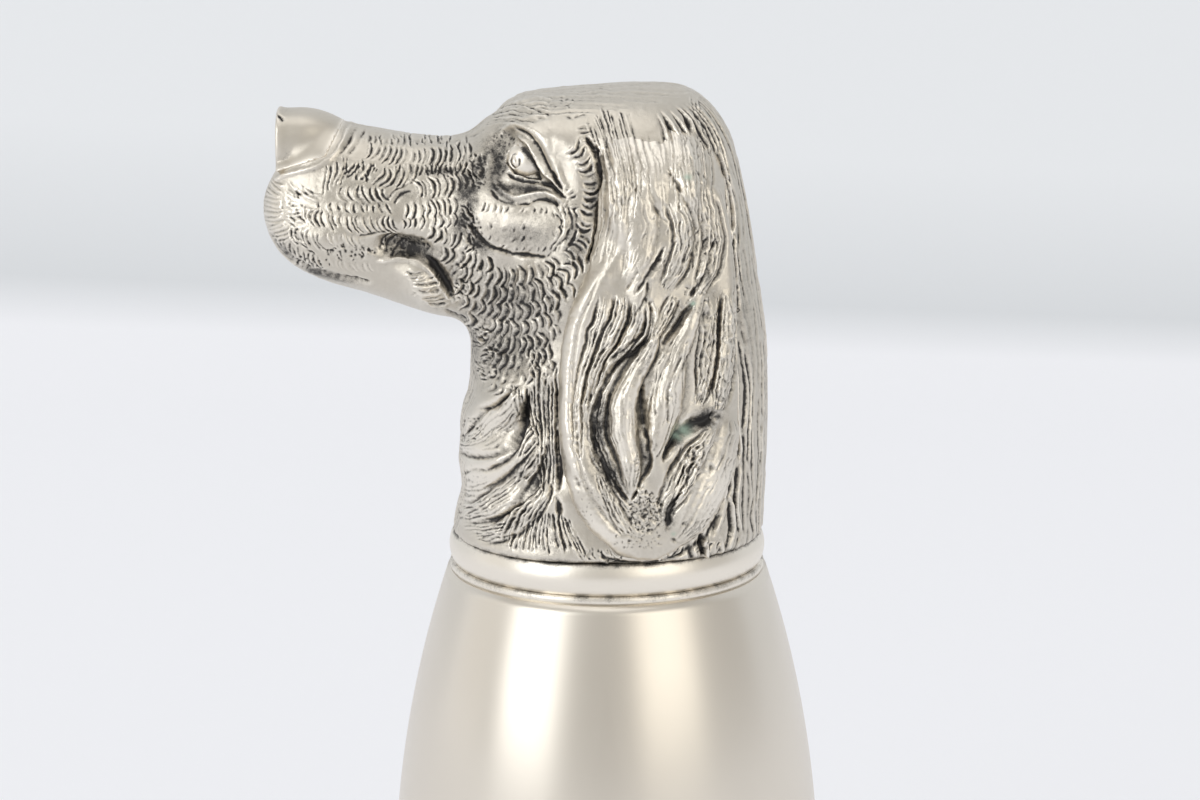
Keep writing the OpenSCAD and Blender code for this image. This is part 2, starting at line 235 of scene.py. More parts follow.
class SculptLook(bpy.types.PropertyGroup):
    """How finely the cast pieces are worked."""

    voxel: metres("Voxel", "Grain of the first remesh, before it is subdivided twice", 0.0006)
    smooth_passes: whole("Smoothing passes", "Passes that melt the facets of the frame's solid", 10)
    subdivisions: whole("Subdivisions", "Times that each face of the remesh is split in four", 2)
    triangle_limit: whole("Triangle limit", "Most triangles kept in one cast piece", 190000)
    nose_voxel: metres("Nose voxel", "Grain of the remesh that the nose is cut from", 0.0003)
    nose_passes: whole("Nose passes", "Passes that melt the facets of the nose", 2)
    depth: plain("Depth of chasing", "Factor on the depth of every chased stroke", 1.0)


class TurnedLook(bpy.types.PropertyGroup):
    """Sizes of the turned pieces that their boxes in the frame don't give."""

    skirt: metres("Skirt", "Height of the straight part above the mouth", 0.022)
    wall: metres("Wall", "Thickness of the spun sheet", 0.0012)
    shoulder: metres("Shoulder", "Diameter of the closed end of the cup", 0.0458)
    band_swell: metres("Band swell", "How far the collar's band swells past its edges", 0.0007)
    spigot: metres("Spigot", "Radius of the tube that the collar and the head sit on", 0.0198)
    spigot_wall: metres("Spigot wall", "Thickness of that tube", 0.0016)
    solder_gap: metres("Solder gap", "Room left for solder round the tube", 0.00005)
    soft_edge: metres("Soft edge", "Width of the worn edge of a turned piece", 0.00018)
    steps: whole("Steps", "Facets round a turned piece", 256)


class PlateLook(bpy.types.PropertyGroup):
    """Colours and gloss of the plated finishes."""

    silver: tint("Silver", "Dull plate of the casting", (0.62, 0.575, 0.50))
    # The polish colour also paints highlights on ridges and on bright patches
    polish: tint("Polish", "Silver on the edges that hands have polished, and on the collar",
                 (0.88, 0.825, 0.735))
    satin: tint("Satin", "Satin plate of the cup", (0.80, 0.745, 0.66))
    # The tarnish colour also paints shade in the hollows and in the dark patches
    tarnish: tint("Tarnish", "Dark sulphide left in the recesses", (0.070, 0.067, 0.066))
    verdigris: tint("Verdigris", "Green bloom in a few pits", (0.42, 0.54, 0.45))
    satin_gloss: plain("Satin roughness", "Roughness of the satin cup", 0.26)
    rubbed_gloss: plain("Rubbed roughness", "Roughness of the rubbed casting", 0.34)


# Strokes on the face, drawn over the photograph. A line is a list of (x, y, half width) in its pixels.
# Depths are in millimetres, and a raised line has a negative depth.

# Rows of short curved hairs: guide line with the half length of its hairs, spacing, bow, lean and depth
MUZZLE_ROWS = [
    ([(366, 150, 7), (380, 153, 9), (400, 156, 9), (425, 157, 9), (450, 155, 9), (472, 151, 8)],
     6.1, 3.0, 1.5, 0.20),
    ([(366, 138, 4), (386, 141, 4), (412, 143, 4)], 6.4, 1.0, 0.5, 0.08),
    ([(322, 180, 12), (334, 174, 13), (346, 170, 12)], 6.2, 3.5, 7.5, 0.16),
    ([(348, 168, 8), (360, 172, 9), (372, 175, 9)], 5.4, 2.0, 4.0, 0.16),
    ([(374, 176, 10), (388, 177, 11), (402, 177, 10), (414, 174, 9)], 6.8, 4.0, 5.0, 0.20),
    ([(393, 169, 5), (405, 169, 5), (418, 170, 5)], 5.2, 1.0, 0.5, 0.16),
    ([(418, 171, 4), (434, 169, 5), (452, 167, 5), (470, 166, 5)], 5.2, 1.5, 2.0, 0.26),
    ([(342, 193, 8), (358, 194, 9), (376, 194, 9), (394, 193, 8)], 7.4, -4.0, -2.5, 0.18),
    ([(414, 190, 10), (432, 187, 11), (448, 184, 11), (468, 180, 9)], 6.8, 5.0, 0.0, 0.22),
    ([(328, 207, 5), (348, 208, 5), (372, 208, 5), (394, 209, 5)], 6.6, -1.5, -1.5, 0.14),
    ([(402, 212, 8), (420, 211, 9), (440, 208, 9), (458, 204, 8)], 6.4, 3.0, 0.5, 0.18),
    ([(308, 217, 8), (328, 220, 9), (352, 223, 9), (376, 224, 8), (400, 224, 8)], 6.2, -3.5, -3.0, 0.17),
    ([(400, 224, 6), (420, 223, 7), (440, 221, 7), (460, 219, 7)], 6.6, 3.0, 0.5, 0.18),
    ([(292, 234, 8), (308, 239, 8), (326, 243, 7)], 5.8, -3.0, -5.0, 0.13),
    ([(426, 232, 7), (438, 236, 9), (452, 240, 9), (468, 244, 8)], 7.0, 4.5, 0.5, 0.24),
    ([(276, 239, 5), (290, 249, 6), (306, 257, 6), (324, 263, 5)], 5.4, -2.0, -4.0, 0.11),
    ([(278, 180, 8), (272, 194, 9), (272, 210, 10), (277, 226, 10),
      (286, 242, 8)], 4.2, 2.5, 2.0, -0.12),
    ([(296, 184, 9), (292, 200, 9), (293, 214, 9), (300, 230, 8)], 4.6, 2.5, 3.5, -0.10),
    ([(312, 190, 8), (310, 204, 8), (314, 216, 7)], 5.0, 2.5, 3.5, -0.08),
    ([(330, 238, 6), (346, 240, 6), (362, 240, 5)], 5.2, -2.0, -3.0, -0.09),
    ([(330, 262, 5), (350, 266, 5), (372, 268, 5)], 5.6, -2.0, -3.0, -0.08),
]
CHEEK_ROWS = [
    ([(440, 254, 8), (454, 257, 9), (470, 261, 9), (490, 267, 8)], 8.2, 5.0, 1.0, 0.26),
    ([(448, 269, 8), (464, 273, 9), (482, 277, 10), (502, 278, 10), (522, 276, 10), (540, 272, 9),
      (558, 264, 9)], 8.8, 5.5, 1.0, 0.30),
    ([(455, 286, 8), (472, 290, 9), (490, 294, 10), (510, 295, 10), (530, 292, 10), (549, 285, 10),
      (567, 274, 9), (581, 260, 8)], 8.8, 5.5, 1.0, 0.31),
    ([(460, 303, 7), (476, 307, 9), (496, 311, 10), (516, 312, 10), (536, 308, 10), (554, 300, 10),
      (572, 288, 8)], 8.8, 5.5, 1.0, 0.31),
    ([(466, 320, 7), (484, 325, 9), (504, 329, 10), (524, 328, 10), (543, 322, 9), (560, 312, 8)],
     8.8, 5.5, 1.0, 0.31),
    ([(478, 338, 7), (495, 343, 9), (513, 346, 10), (531, 344, 9), (548, 337, 8), (560, 328, 6)],
     8.6, 5.5, 1.5, 0.29),
    ([(484, 355, 7), (500, 360, 9), (516, 362, 9), (534, 360, 8), (552, 353, 7)], 8.4, 5.0, 2.0, 0.27),
    ([(486, 371, 6), (500, 376, 8), (516, 378, 8), (534, 375, 7), (552, 368, 6)], 8.0, 4.5, 2.0, 0.24),
    ([(488, 386, 5), (502, 391, 6), (516, 392, 6)], 7.6, 4.0, 2.0, 0.20),
    ([(552, 224, 20), (561, 226, 21), (571, 229, 20), (580, 233, 16)], 6.4, 8.0, -2.0, 0.15),
    ([(566, 260, 8), (576, 250, 9), (586, 238, 8)], 6.4, 4.0, 0.0, 0.25),
]
BAG_ROWS = [
    ([(480, 207, 5), (500, 209, 4), (524, 210, 3), (548, 211, 3)], 6.4, 1.0, 1.0, 0.10),
    ([(488, 224, 3), (510, 229, 3), (538, 226, 3)], 12.0, 0.5, 1.0, 0.12),
    ([(486, 236, 3), (506, 240, 3), (534, 238, 3)], 9.0, 0.5, 1.5, 0.12),
    ([(500, 247, 2.5), (520, 249, 2.5), (544, 249, 3), (566, 245, 4)], 7.4, 0.5, 2.0, 0.14),
]
TEMPLE_ROWS = [
    ([(570, 144, 10), (581, 158, 9), (588, 174, 8), (590, 194, 8), (589, 212, 8), (583, 231, 7)],
     7.8, 4.0, 0.0, 0.28),
    ([(566, 186, 3), (572, 196, 4), (575, 208, 4)], 4.6, 1.0, 0.0, 0.10),
]

# Chased lines of the eye, the mouth, the nose and the jaw: line, depth and stain
EYE_LINES = [
    # brow and the two ridges of the upper lid
    ([(498, 134, 3), (512, 125, 4), (528, 127, 5), (541, 138, 5), (550, 153, 5), (557, 170, 4),
      (563, 186, 3)],
     -0.40, 0),
    ([(517, 128, 1.5), (527, 133, 1.7), (537, 146, 1.7), (545, 161, 1.7), (553, 176, 1.7),
      (562, 191, 1.5)],
     0.42, 0.7),
    ([(519, 137, 2), (528, 143, 2.4), (536, 156, 2.4), (543, 170, 2.4), (553, 182, 2.2),
      (563, 194, 1.6)],
     -0.50, 0),
    # dark gap between the ball and the lid, and the trough under the ball: grooves whose dark stain is
    # partly tarnish and partly painted shade
    ([(521, 147, 2), (527, 154, 2.8), (534, 166, 3), (540, 177, 2.6)], 0.75, 0.7),
    ([(506, 172, 1.8), (514, 177, 2.6), (526, 180, 3.0), (539, 180, 2.6)], 0.60, 0.8),
    ([(539, 181, 2.4), (550, 185, 2.2), (558, 191, 2.4), (565, 197, 1.8)], 0.60, 0.8),
    # lower lid, with a groove below it
    ([(494, 180, 2), (502, 191, 2.4), (514, 197, 2.6), (527, 196, 2.4), (538, 193, 2.4), (550, 195, 2.4),
      (562, 201, 2)], -0.50, 0),
    ([(490, 190, 1.8), (500, 200, 1.8), (514, 204, 1.8), (528, 203, 1.6), (540, 200, 1.8),
      (552, 202, 2.2),
      (560, 206, 1.6)], 0.34, 0.35),
    # front of the socket, the crease under the bag, and the groove before the ear
    ([(486, 152, 2), (482, 162, 3), (479, 176, 3.4)], 0.34, 0.3),
    ([(470, 224, 2.4), (477, 236, 2.6), (490, 246, 2.2), (506, 252, 2), (524, 255, 2), (544, 257, 1.6)],
     0.50, 0.45),
    ([(586, 136, 1.8), (596, 152, 2.6), (600, 170, 3.2), (602, 192, 3.4), (600, 216, 3.2),
      (596, 240, 2.8),
      (588, 262, 2)], 0.85, 0.75),
    ([(605, 166, 1.4), (611, 184, 1.8), (611, 206, 2), (607, 228, 1.6)], 0.30, 0.35),
    # arcs round the end of the bag
    ([(556, 214, 1), (561, 221, 1.4), (560, 229, 1)], 0.20, 0.5),
    ([(564, 210, 1), (569, 219, 1.4), (567, 230, 1)], 0.20, 0.5),
    ([(558, 245, 1), (566, 238, 1.4), (570, 229, 1)], 0.20, 0.5),
    ([(565, 251, 1), (573, 242, 1.4), (577, 231, 1)], 0.20, 0.5),
    ([(547, 257, 1), (555, 250, 1.4), (559, 242, 1)], 0.18, 0.4),
    # fold of the bridge, and nicks in the brow
    ([(404, 137, 1.4), (424, 141, 1.6), (446, 142, 1.6), (468, 137, 1.6), (486, 129, 1.6)], 0.14, 0.15),
    ([(545, 114, 1.4), (550, 115, 1.4)], 0.20, 0.4),
    ([(565, 116, 1.4), (571, 119, 1.4)], 0.20, 0.4),
]
# Outline of the eye ball in its lids, how far the skin is sunk there, and the softness of that edge
EYE_BALL = [(505, 160), (509, 151), (517, 146), (523, 151), (531, 163), (540, 178), (528, 177), (512, 172)]
EYE_BALL_DIP = 1.1
EYE_BALL_SOFT = 1.2
# Marks on the eye itself: the outline of the iris and the pupil in it, then two bands of painted shade on
# the ball, under the upper lid and along its lower edge
IRIS_LINES_AND_PAINTED_SHADE = [
    ([(517, 153, 1), (512, 155, 1.2), (510, 162, 1.2), (513, 167, 1.2), (518, 164, 1.1),
      (519, 157, 1)], 0.16, 0.5),
    ([(514, 158, 1.2), (514, 162, 1.2)], 0.12, 0.5),
    # painted shade: dark bands on the ball under the lid and along its lower edge, with no groove
    ([(521, 145, 3), (532, 159, 3.8), (542, 174, 3)], 0.0, 1.0),
    ([(506, 172, 1.6), (520, 177, 2.2), (540, 180, 2)], 0.0, 1.0),
]
MOUTH_LINES = [
    ([(358, 236, 1), (374, 233, 1.4), (392, 230, 1.6)], 0.22, 0.3),
    ([(428, 258, 2.4), (437, 268, 4.2), (445, 281, 4.4), (452, 297, 2)], 0.95, 0.6),
    ([(378, 262, 2.6), (396, 259, 3), (416, 262, 3.2), (431, 272, 3), (441, 287, 2.6)], -0.34, 0),
    # striations in the hollow
    ([(380, 250, 1), (384, 240, 1.2), (392, 233, 1)], 0.16, 0.3),
    ([(385, 254, 1), (389, 244, 1.2), (398, 236, 1)], 0.16, 0.3),
    ([(391, 257, 1), (396, 247, 1.2), (404, 240, 1)], 0.14, 0.3),
    # edge of the upper lip over the lower jaw, and the dark slit at its end
    ([(267, 232, 2.4), (276, 246, 3), (290, 259, 3), (310, 269, 3), (332, 275, 2.6), (352, 280, 2.4),
      (368, 283, 1.6)], 0.46, 0.45),
    ([(344, 277, 1.4), (356, 280, 1.8), (368, 283, 1.4)], 0.34, 0.8),
    ([(446, 310, 2), (456, 316, 2.4), (468, 322, 2)], 0.36, 0.5),
]
NOSE_LINES = [
    ([(350, 126, 2), (341, 144, 2.2), (330, 158, 2.4), (312, 167, 2.4), (292, 174, 2.4), (274, 180, 2)],
     -0.28, 0),
    ([(357, 126, 1.6), (349, 141, 1.8), (339, 155, 1.6)], 0.20, 0.2),
    ([(365, 129, 1.6), (357, 143, 1.8), (349, 154, 1.4)], 0.16, 0.15),
    # swirl in the middle of the muzzle
    ([(386, 200, 1.4), (395, 190, 1.6), (406, 186, 1.6), (415, 178, 1.4)], 0.20, 0.25),
    ([(392, 204, 1.4), (401, 195, 1.6), (412, 191, 1.4)], 0.20, 0.25),
]
# Edge of the nose on the muzzle, as seen from the side
NOSE_CORNERS = ((343, 122), (327, 154), (276, 171))
# Front of the nose and the upper lip, as seen from the side, and how deep the nose's front is flattened
FRONT_EDGE = [(276, 100), (277, 112), (279, 166), (274, 174), (267, 188), (263, 204)]
NOSE_FLAT = (0.0004, 0.0020)
# How far behind the front the nose starts to be melted smooth, and where it is so wholly
NOSE_KEEN = (0.0012, 0.0030)
# How much taller and wider the front edge is drawn out, and how far behind it
NOSE_FLARE = (0.09, 0.05)
NOSE_FLARE_REACH = (0.0006, 0.0009)
# Corner of the jaw and the throat, how far it is rounded and in how many passes
THROAT = (464, 326)
THROAT_REACH = 24
THROAT_MELT = 120
# Slant of the hair on the chest and the rows where it starts and is full, and strength and rows of the hair
# over the lip
CHEST_SLANT = 0.6
CHEST_ROWS = (THROAT[1] - 26, THROAT[1] + 4)
LIP_SHARE = 0.55
LIP_ROWS = (228, 206)
# Nostril and the groove below it, from the middle of the nose's front
NOSTRIL_LINES = [
    ([(-6, 4, 0.8), (-11, 1, 3.4), (-16, -1, 4.2), (-22, 0, 3), (-28, 6, 1.8), (-30, 12, 1)], 0.75, 1.0),
    ([(0, 5, 1.5), (0, 34, 1.8)], 0.3, 0.4),
]
# Seen from the front, from the middle outwards: groove under the nose, then edge of the upper lip
FRONT_LINES = [
    ([(0, 166, 3.2), (0, 190, 3), (0, 230, 3)], 0.45, 0.5),
    ([(0, 226, 2), (9, 230, 2.6), (21, 242, 3), (33, 256, 3), (42, 268, 2)], 0.34, 0.36),
]
# Nick in the upper edge of the nose, and how far its skin faces the front where the nostrils are drawn
NOSE_NICK = [([(277, 113, 1.2), (280, 117, 1.4), (283, 122, 1.0)], 0.22, 0.5)]
NOSE_FRONT = (0.1, 0.5)
# Soft pads and hollows: place, half length, half breadth, tilt in degrees and rise
FACE_PADS = [
    ((389, 243), 12, 10, 0, -0.75),
    ((415, 248), 18, 10, 14, -1.00),
    ((424, 288), 22, 14, 40, 0.55),
    ((496, 162), 11, 24, 18, -0.95),
    ((524, 187), 26, 6, 10, -0.30),
    ((512, 226), 34, 15, 8, 0.35),
    ((472, 232), 8, 16, -30, -0.30),
    ((318, 285), 44, 7, 12, -0.35),
    ((300, 212), 22, 26, 0, 0.12),
]
# Speckled darkening without a groove, partly tarnish and dirt and partly painted shade in the socket, the
# mouth, under the bag and where the light is weak: place, half length, half breadth, tilt and strength
FACE_TARNISH_AND_PAINTED_SHADE = [
    ((478, 172), 13, 24, 8, 0.78),
    ((471, 207), 8, 28, 12, 0.80),
    ((497, 164), 16, 30, 18, 0.72),
    ((499, 188), 17, 10, 35, 0.76),
    ((522, 187), 26, 6, 6, 0.85),
    ((548, 202), 14, 3, 10, 0.60),
    ((444, 171), 32, 5, -4, 0.75),
    ((402, 196), 14, 6, -20, 0.55),
    ((406, 247), 26, 13, 10, 0.68),
    ((430, 262), 15, 10, 45, 0.70),
    ((478, 244), 18, 9, 28, 0.80),
    ((596, 196), 8, 44, 0, 0.60),
    ((280, 250), 20, 7, 52, 0.70),
    ((320, 275), 34, 5, 14, 0.75),
    ((360, 254), 30, 9, 0, 0.25),
    ((516, 300), 60, 36, -6, 0.54),
    ((512, 350), 46, 36, 0, 0.56),
    ((455, 275), 18, 26, -20, 0.50),
    ((576, 250), 14, 26, 20, 0.50),
    ((430, 190), 40, 30, 0, 0.32),
    ((370, 200), 46, 32, 0, 0.30),
    ((530, 231), 46, 20, 6, 0.42),
    ((467, 189), 15, 26, 6, 0.88),
    ((462, 220), 12, 24, 20, 0.78),
    ((492, 148), 12, 16, 30, 0.70),
]
# Speckled darkening on the neck, partly tarnish and partly painted shade at the throat, under the ear and
# behind it
NECK_TARNISH_AND_PAINTED_SHADE = [
    ((510, 420), 12, 38, 38, 0.35),
    ((520, 470), 12, 30, 40, 0.35),
    ((556, 450), 6, 60, 0, 0.50),
    ((474, 345), 8, 34, 0, 0.50),
    ((540, 545), 50, 8, 0, 0.30),
    ((744, 320), 14, 80, -6, 0.30),
]
# Fans of hair: a line of roots, a line of tips, their number, half width, depth and curl
FACE_FANS = [
    ([(498, 124), (503, 114), (512, 104), (524, 97)], [(548, 121), (553, 111), (560, 102), (568, 96)],
     8, 1.5, -0.15, -4),
    ([(404, 272), (412, 281), (420, 292), (430, 303)], [(424, 268), (434, 280), (442, 292), (448, 304)],
     12, 1.3, 0.16, 2),
    ([(588, 112), (596, 134), (600, 150)], [(570, 118), (578, 136), (588, 152)], 5, 1.4, 0.14, 0),
    ([(478, 129), (485, 120), (494, 110)], [(540, 128), (543, 120), (541, 110)], 7, 1.2, 0.11, -7),
    ([(300, 232), (306, 246), (318, 256)], [(288, 222), (292, 238), (304, 250)], 6, 1.2, 0.10, 1),
    ([(500, 122), (515, 105), (535, 96), (560, 92)], [(600, 113), (640, 107), (672, 99), (690, 92)],
     13, 1.1, 0.05, -3),
    ([(690, 93), (700, 99), (708, 110)], [(740, 196), (731, 196), (723, 196)], 6, 1.1, 0.12, 7),
]
# Hair over the crown and the ear, drawn on both
CROWN_FANS = [
    ([(584, 112), (597, 107), (612, 106), (628, 108)], [(606, 200), (618, 208), (630, 206), (644, 196)],
     12, 1.15, 0.15, -4),
    ([(592, 140), (612, 140), (632, 138)], [(602, 222), (618, 228), (634, 222)], 8, 1.1, 0.12, -4),
    ([(640, 130), (652, 132), (662, 124)], [(650, 196), (662, 206), (672, 196)], 4, 1.2, 0.10, -3),
    ([(668, 124), (684, 119), (706, 122)], [(672, 204), (694, 216), (714, 206)], 8, 1.2, 0.15, -3),
    ([(672, 160), (690, 166), (708, 160)], [(676, 250), (696, 262), (716, 250)], 7, 1.2, 0.14, -5),
]
# Strewn dashes: place, half length and breadth of the patch, number, length, angle, half width and depth
FACE_DASHES = [
    ((361, 171), 16, 9, 26, 7, 100, 1.1, 0.16),
    ((443, 171), 26, 5, 24, 6, 75, 1.2, 0.22),
    ((474, 168), 8, 14, 26, 6, 70, 1.2, 0.20),
    ((466, 222), 7, 22, 30, 6, 60, 1.2, 0.22),
    ((352, 252), 26, 7, 26, 4, 80, 1.2, 0.13),
    ((300, 205), 20, 18, 26, 7, 60, 1.2, 0.08),
    ((426, 284), 16, 12, 16, 5, -25, 1.2, 0.18),
    ((459, 290), 12, 9, 20, 6, 40, 1.4, 0.24),
    ((560, 216), 12, 22, 22, 5, 80, 1.1, 0.10),
    ((562, 102), 14, 5, 16, 4, 0, 1.1, 0.09),
    ((694, 550), 34, 7, 30, 8, 125, 1.1, 0.16),
    ((600, 556), 22, 6, 22, 7, 60, 1.1, 0.14),
    ((484, 350), 12, 30, 34, 6, 20, 1.2, 0.18),
    ((540, 360), 12, 24, 20, 7, 60, 1.3, 0.22),
    ((476, 334), 8, 14, 16, 5, 40, 1.2, 0.16),
    ((420, 141), 52, 5, 30, 6, 82, 1.1, 0.15),
]
# Patches of small pits: place, half length, half breadth, number, half width and depth
FACE_PITS = [
    ((502, 150), 13, 20, 90, 1.0, 0.05),
    ((476, 172), 10, 18, 70, 1.0, 0.08),
    ((474, 236), 9, 18, 60, 1.1, 0.14),
    ((405, 246), 24, 10, 90, 1.0, 0.08),
    ((350, 252), 26, 8, 30, 1.2, 0.14),
    ((300, 264), 34, 6, 60, 1.1, 0.12),
    ((474, 430), 14, 12, 50, 1.1, 0.10),
    ((476, 500), 18, 36, 90, 1.1, 0.05),
]

# Locks on the neck and the ear: centre line, crown, number of strands, their depth and the edge's depth
NECK_LOCKS = [
    ([(527, 384, 4), (515, 406, 13), (499, 426, 19), (482, 440, 17), (467, 444, 11), (457, 440, 6)],
     0.80, 8, 0.13, 0.45),
    ([(544, 440, 4), (536, 462, 9), (520, 484, 13), (500, 500, 14), (480, 510, 11), (464, 514, 7)],
     0.55, 9, 0.15, 0.40),
    ([(550, 476, 4), (540, 498, 8), (522, 517, 11), (500, 530, 11), (478, 536, 8)], 0.40, 7, 0.14, 0.30),
]
NECK_LINES = [
    ([(512, 386, 1.6), (505, 397, 3), (494, 406, 3.8), (478, 411, 2.4)], 0.65, 0.6),
    ([(528, 398, 2), (524, 424, 3.4), (515, 446, 4.4), (500, 464, 4.2), (486, 472, 2.4)], 0.75, 0.65),
    ([(545, 452, 1.6), (538, 474, 3), (524, 494, 3.4), (506, 514, 2.8), (490, 524, 1.6)], 0.55, 0.5),
    ([(557, 392, 1.6), (559, 430, 2.4), (560, 464, 2.4), (559, 490, 1.6)], 0.60, 0.6),
    ([(557, 499, 2), (558, 508, 3.2), (559, 518, 2)], 0.75, 0.8),
    ([(462, 474, 1.6), (472, 470, 2.2), (486, 472, 1.8)], 0.28, 0.3),
    ([(536, 434, 1.4), (530, 446, 2.6), (522, 456, 1.6)], 0.40, 0.5),
    ([(532, 462, 1.4), (526, 470, 2.2), (520, 478, 1.4)], 0.36, 0.5),
    # groove along the ear's lower edge; its dark stain is partly tarnish and partly painted shadow under the
    # ear
    ([(600, 556, 2), (625, 564, 2.4), (652, 564, 2.4), (678, 555, 2.6), (702, 540, 2.4),
      (720, 514, 2)], 0.34, 0.6),
]
NECK_FANS = [
    ([(534, 376), (542, 366), (550, 362), (557, 358)], [(541, 494), (547, 498), (553, 500), (558, 502)],
     7, 1.25, 0.26, 1),
    ([(514, 384), (524, 382), (534, 380)], [(528, 430), (536, 436), (542, 430)], 6, 1.2, 0.22, 2),
    ([(520, 506), (536, 510), (552, 512), (566, 514)], [(500, 548), (528, 552), (556, 554), (588, 555)],
     22, 1.3, 0.24, 2),
    ([(536, 420), (540, 440), (544, 456)], [(514, 462), (520, 476), (528, 488)], 7, 1.3, 0.20, 3),
    ([(526, 496), (536, 500), (546, 504)], [(498, 540), (510, 546), (522, 550)], 7, 1.3, 0.18, 3),
    ([(500, 520), (508, 526), (514, 534)], [(462, 520), (464, 530), (470, 540)], 8, 1.3, 0.11, -3),
    ([(496, 478), (500, 490), (500, 502)], [(462, 484), (460, 496), (460, 508)], 8, 1.3, 0.10, -4),
]
NECK_PADS = [
    ((500, 430), 30, 13, -42, 0.30),
    ((514, 488), 30, 10, -40, 0.25),
]

EAR_LOCKS = [
    # roots at the top, fine and nearly straight
    ([(590, 112, 8), (602, 132, 13), (613, 160, 16), (621, 190, 13),
      (626, 208, 6)], 0.25, 3, 0.10, 0.05),
    ([(640, 132, 12), (650, 160, 16), (656, 190, 12), (660, 212, 5)], 0.20, 2, 0.10, 0.06),
    ([(686, 130, 14), (690, 152, 16), (694, 186, 14), (698, 216, 8)], 0.22, 2, 0.10, 0.06),
    ([(606, 186, 7), (610, 214, 8), (606, 242, 9), (598, 266, 8)], 0.20, 3, 0.06, 0.10),
    # smooth lock in the middle of the upper ear
    ([(636, 186, 10), (643, 210, 14), (643, 236, 14), (636, 262, 12),
      (626, 284, 7)], 0.40, 6, 0.05, 0.15),
    ([(672, 196, 9), (682, 220, 11), (684, 246, 11), (676, 270, 10),
      (664, 292, 7)], 0.40, 5, 0.14, 0.30),
    ([(706, 196, 9), (712, 224, 10), (714, 250, 10), (706, 276, 9), (696, 298, 6)], 0.36, 5, 0.15, 0.30),
    # smooth rolled border at the front
    ([(598, 262, 5), (588, 284, 8), (576, 308, 8), (569, 336, 7), (566, 370, 6.5), (565, 410, 6.5),
      (568, 450, 7), (577, 488, 9), (594, 522, 11), (620, 544, 11), (648, 553, 9)], 0.55, 0, 0.0, 0.12),
    # front locks that sweep down to the border
    ([(606, 290, 6), (604, 316, 8), (593, 346, 8), (583, 376, 6), (578, 408, 5), (577, 440, 4),
      (580, 462, 2.5)],
     0.50, 5, 0.26, 0.40),
    ([(622, 292, 6), (619, 318, 8), (607, 345, 8), (595, 370, 6), (588, 398, 5), (585, 428, 4)],
     0.50, 5, 0.28, 0.45),
    ([(638, 300, 6), (636, 322, 7), (626, 344, 7), (611, 362, 5), (601, 382, 3)], 0.45, 4, 0.24, 0.40),
    # dark lock in the hollow, deep and finely lined
    ([(612, 372, 4), (600, 394, 7), (595, 420, 9), (598, 446, 10), (608, 468, 8), (620, 488, 5)],
     -0.55, 7, -0.20, 0.10),
    # full lock in the middle of the ear
    ([(658, 296, 5), (657, 322, 7), (650, 348, 9), (634, 374, 12), (624, 402, 15), (624, 432, 16),
      (630, 460, 13), (631, 484, 8), (630, 500, 3)], 0.85, 7, 0.06, 0.35),
    # full lock behind it
    ([(700, 300, 7), (688, 328, 10), (676, 356, 14), (668, 386, 18), (664, 414, 18), (660, 438, 12),
      (652, 462, 5)], 0.70, 7, 0.07, 0.25),
    ([(676, 296, 5), (668, 312, 7), (660, 328, 6), (654, 342, 4)], 0.35, 3, 0.20, 0.25),
    # straight locks at the back
    ([(712, 292, 6), (711, 326, 8), (708, 360, 9), (704, 388, 7), (698, 408, 4)], 0.40, 6, 0.26, 0.40),
    ([(727, 288, 6), (729, 326, 8), (726, 362, 9), (722, 392, 8), (718, 412, 5)], 0.40, 6, 0.26, 0.40),
    ([(740, 320, 5), (745, 356, 6), (748, 400, 7), (747, 440, 7), (740, 480, 6), (726, 512, 4)],
     0.30, 5, 0.20, 0.30),
    # locks that spring from the pit
    ([(716, 428, 4), (704, 444, 9), (691, 464, 13), (678, 488, 13), (668, 508, 8), (664, 524, 4)],
     0.55, 8, 0.30, 0.30),
    ([(732, 410, 7), (729, 440, 11), (721, 472, 14), (709, 502, 14), (694, 528, 11), (676, 546, 6)],
     0.55, 8, 0.06, 0.15),
    ([(600, 470, 4), (608, 492, 6), (618, 514, 7), (630, 536, 6)], 0.30, 5, 0.20, 0.20),
]
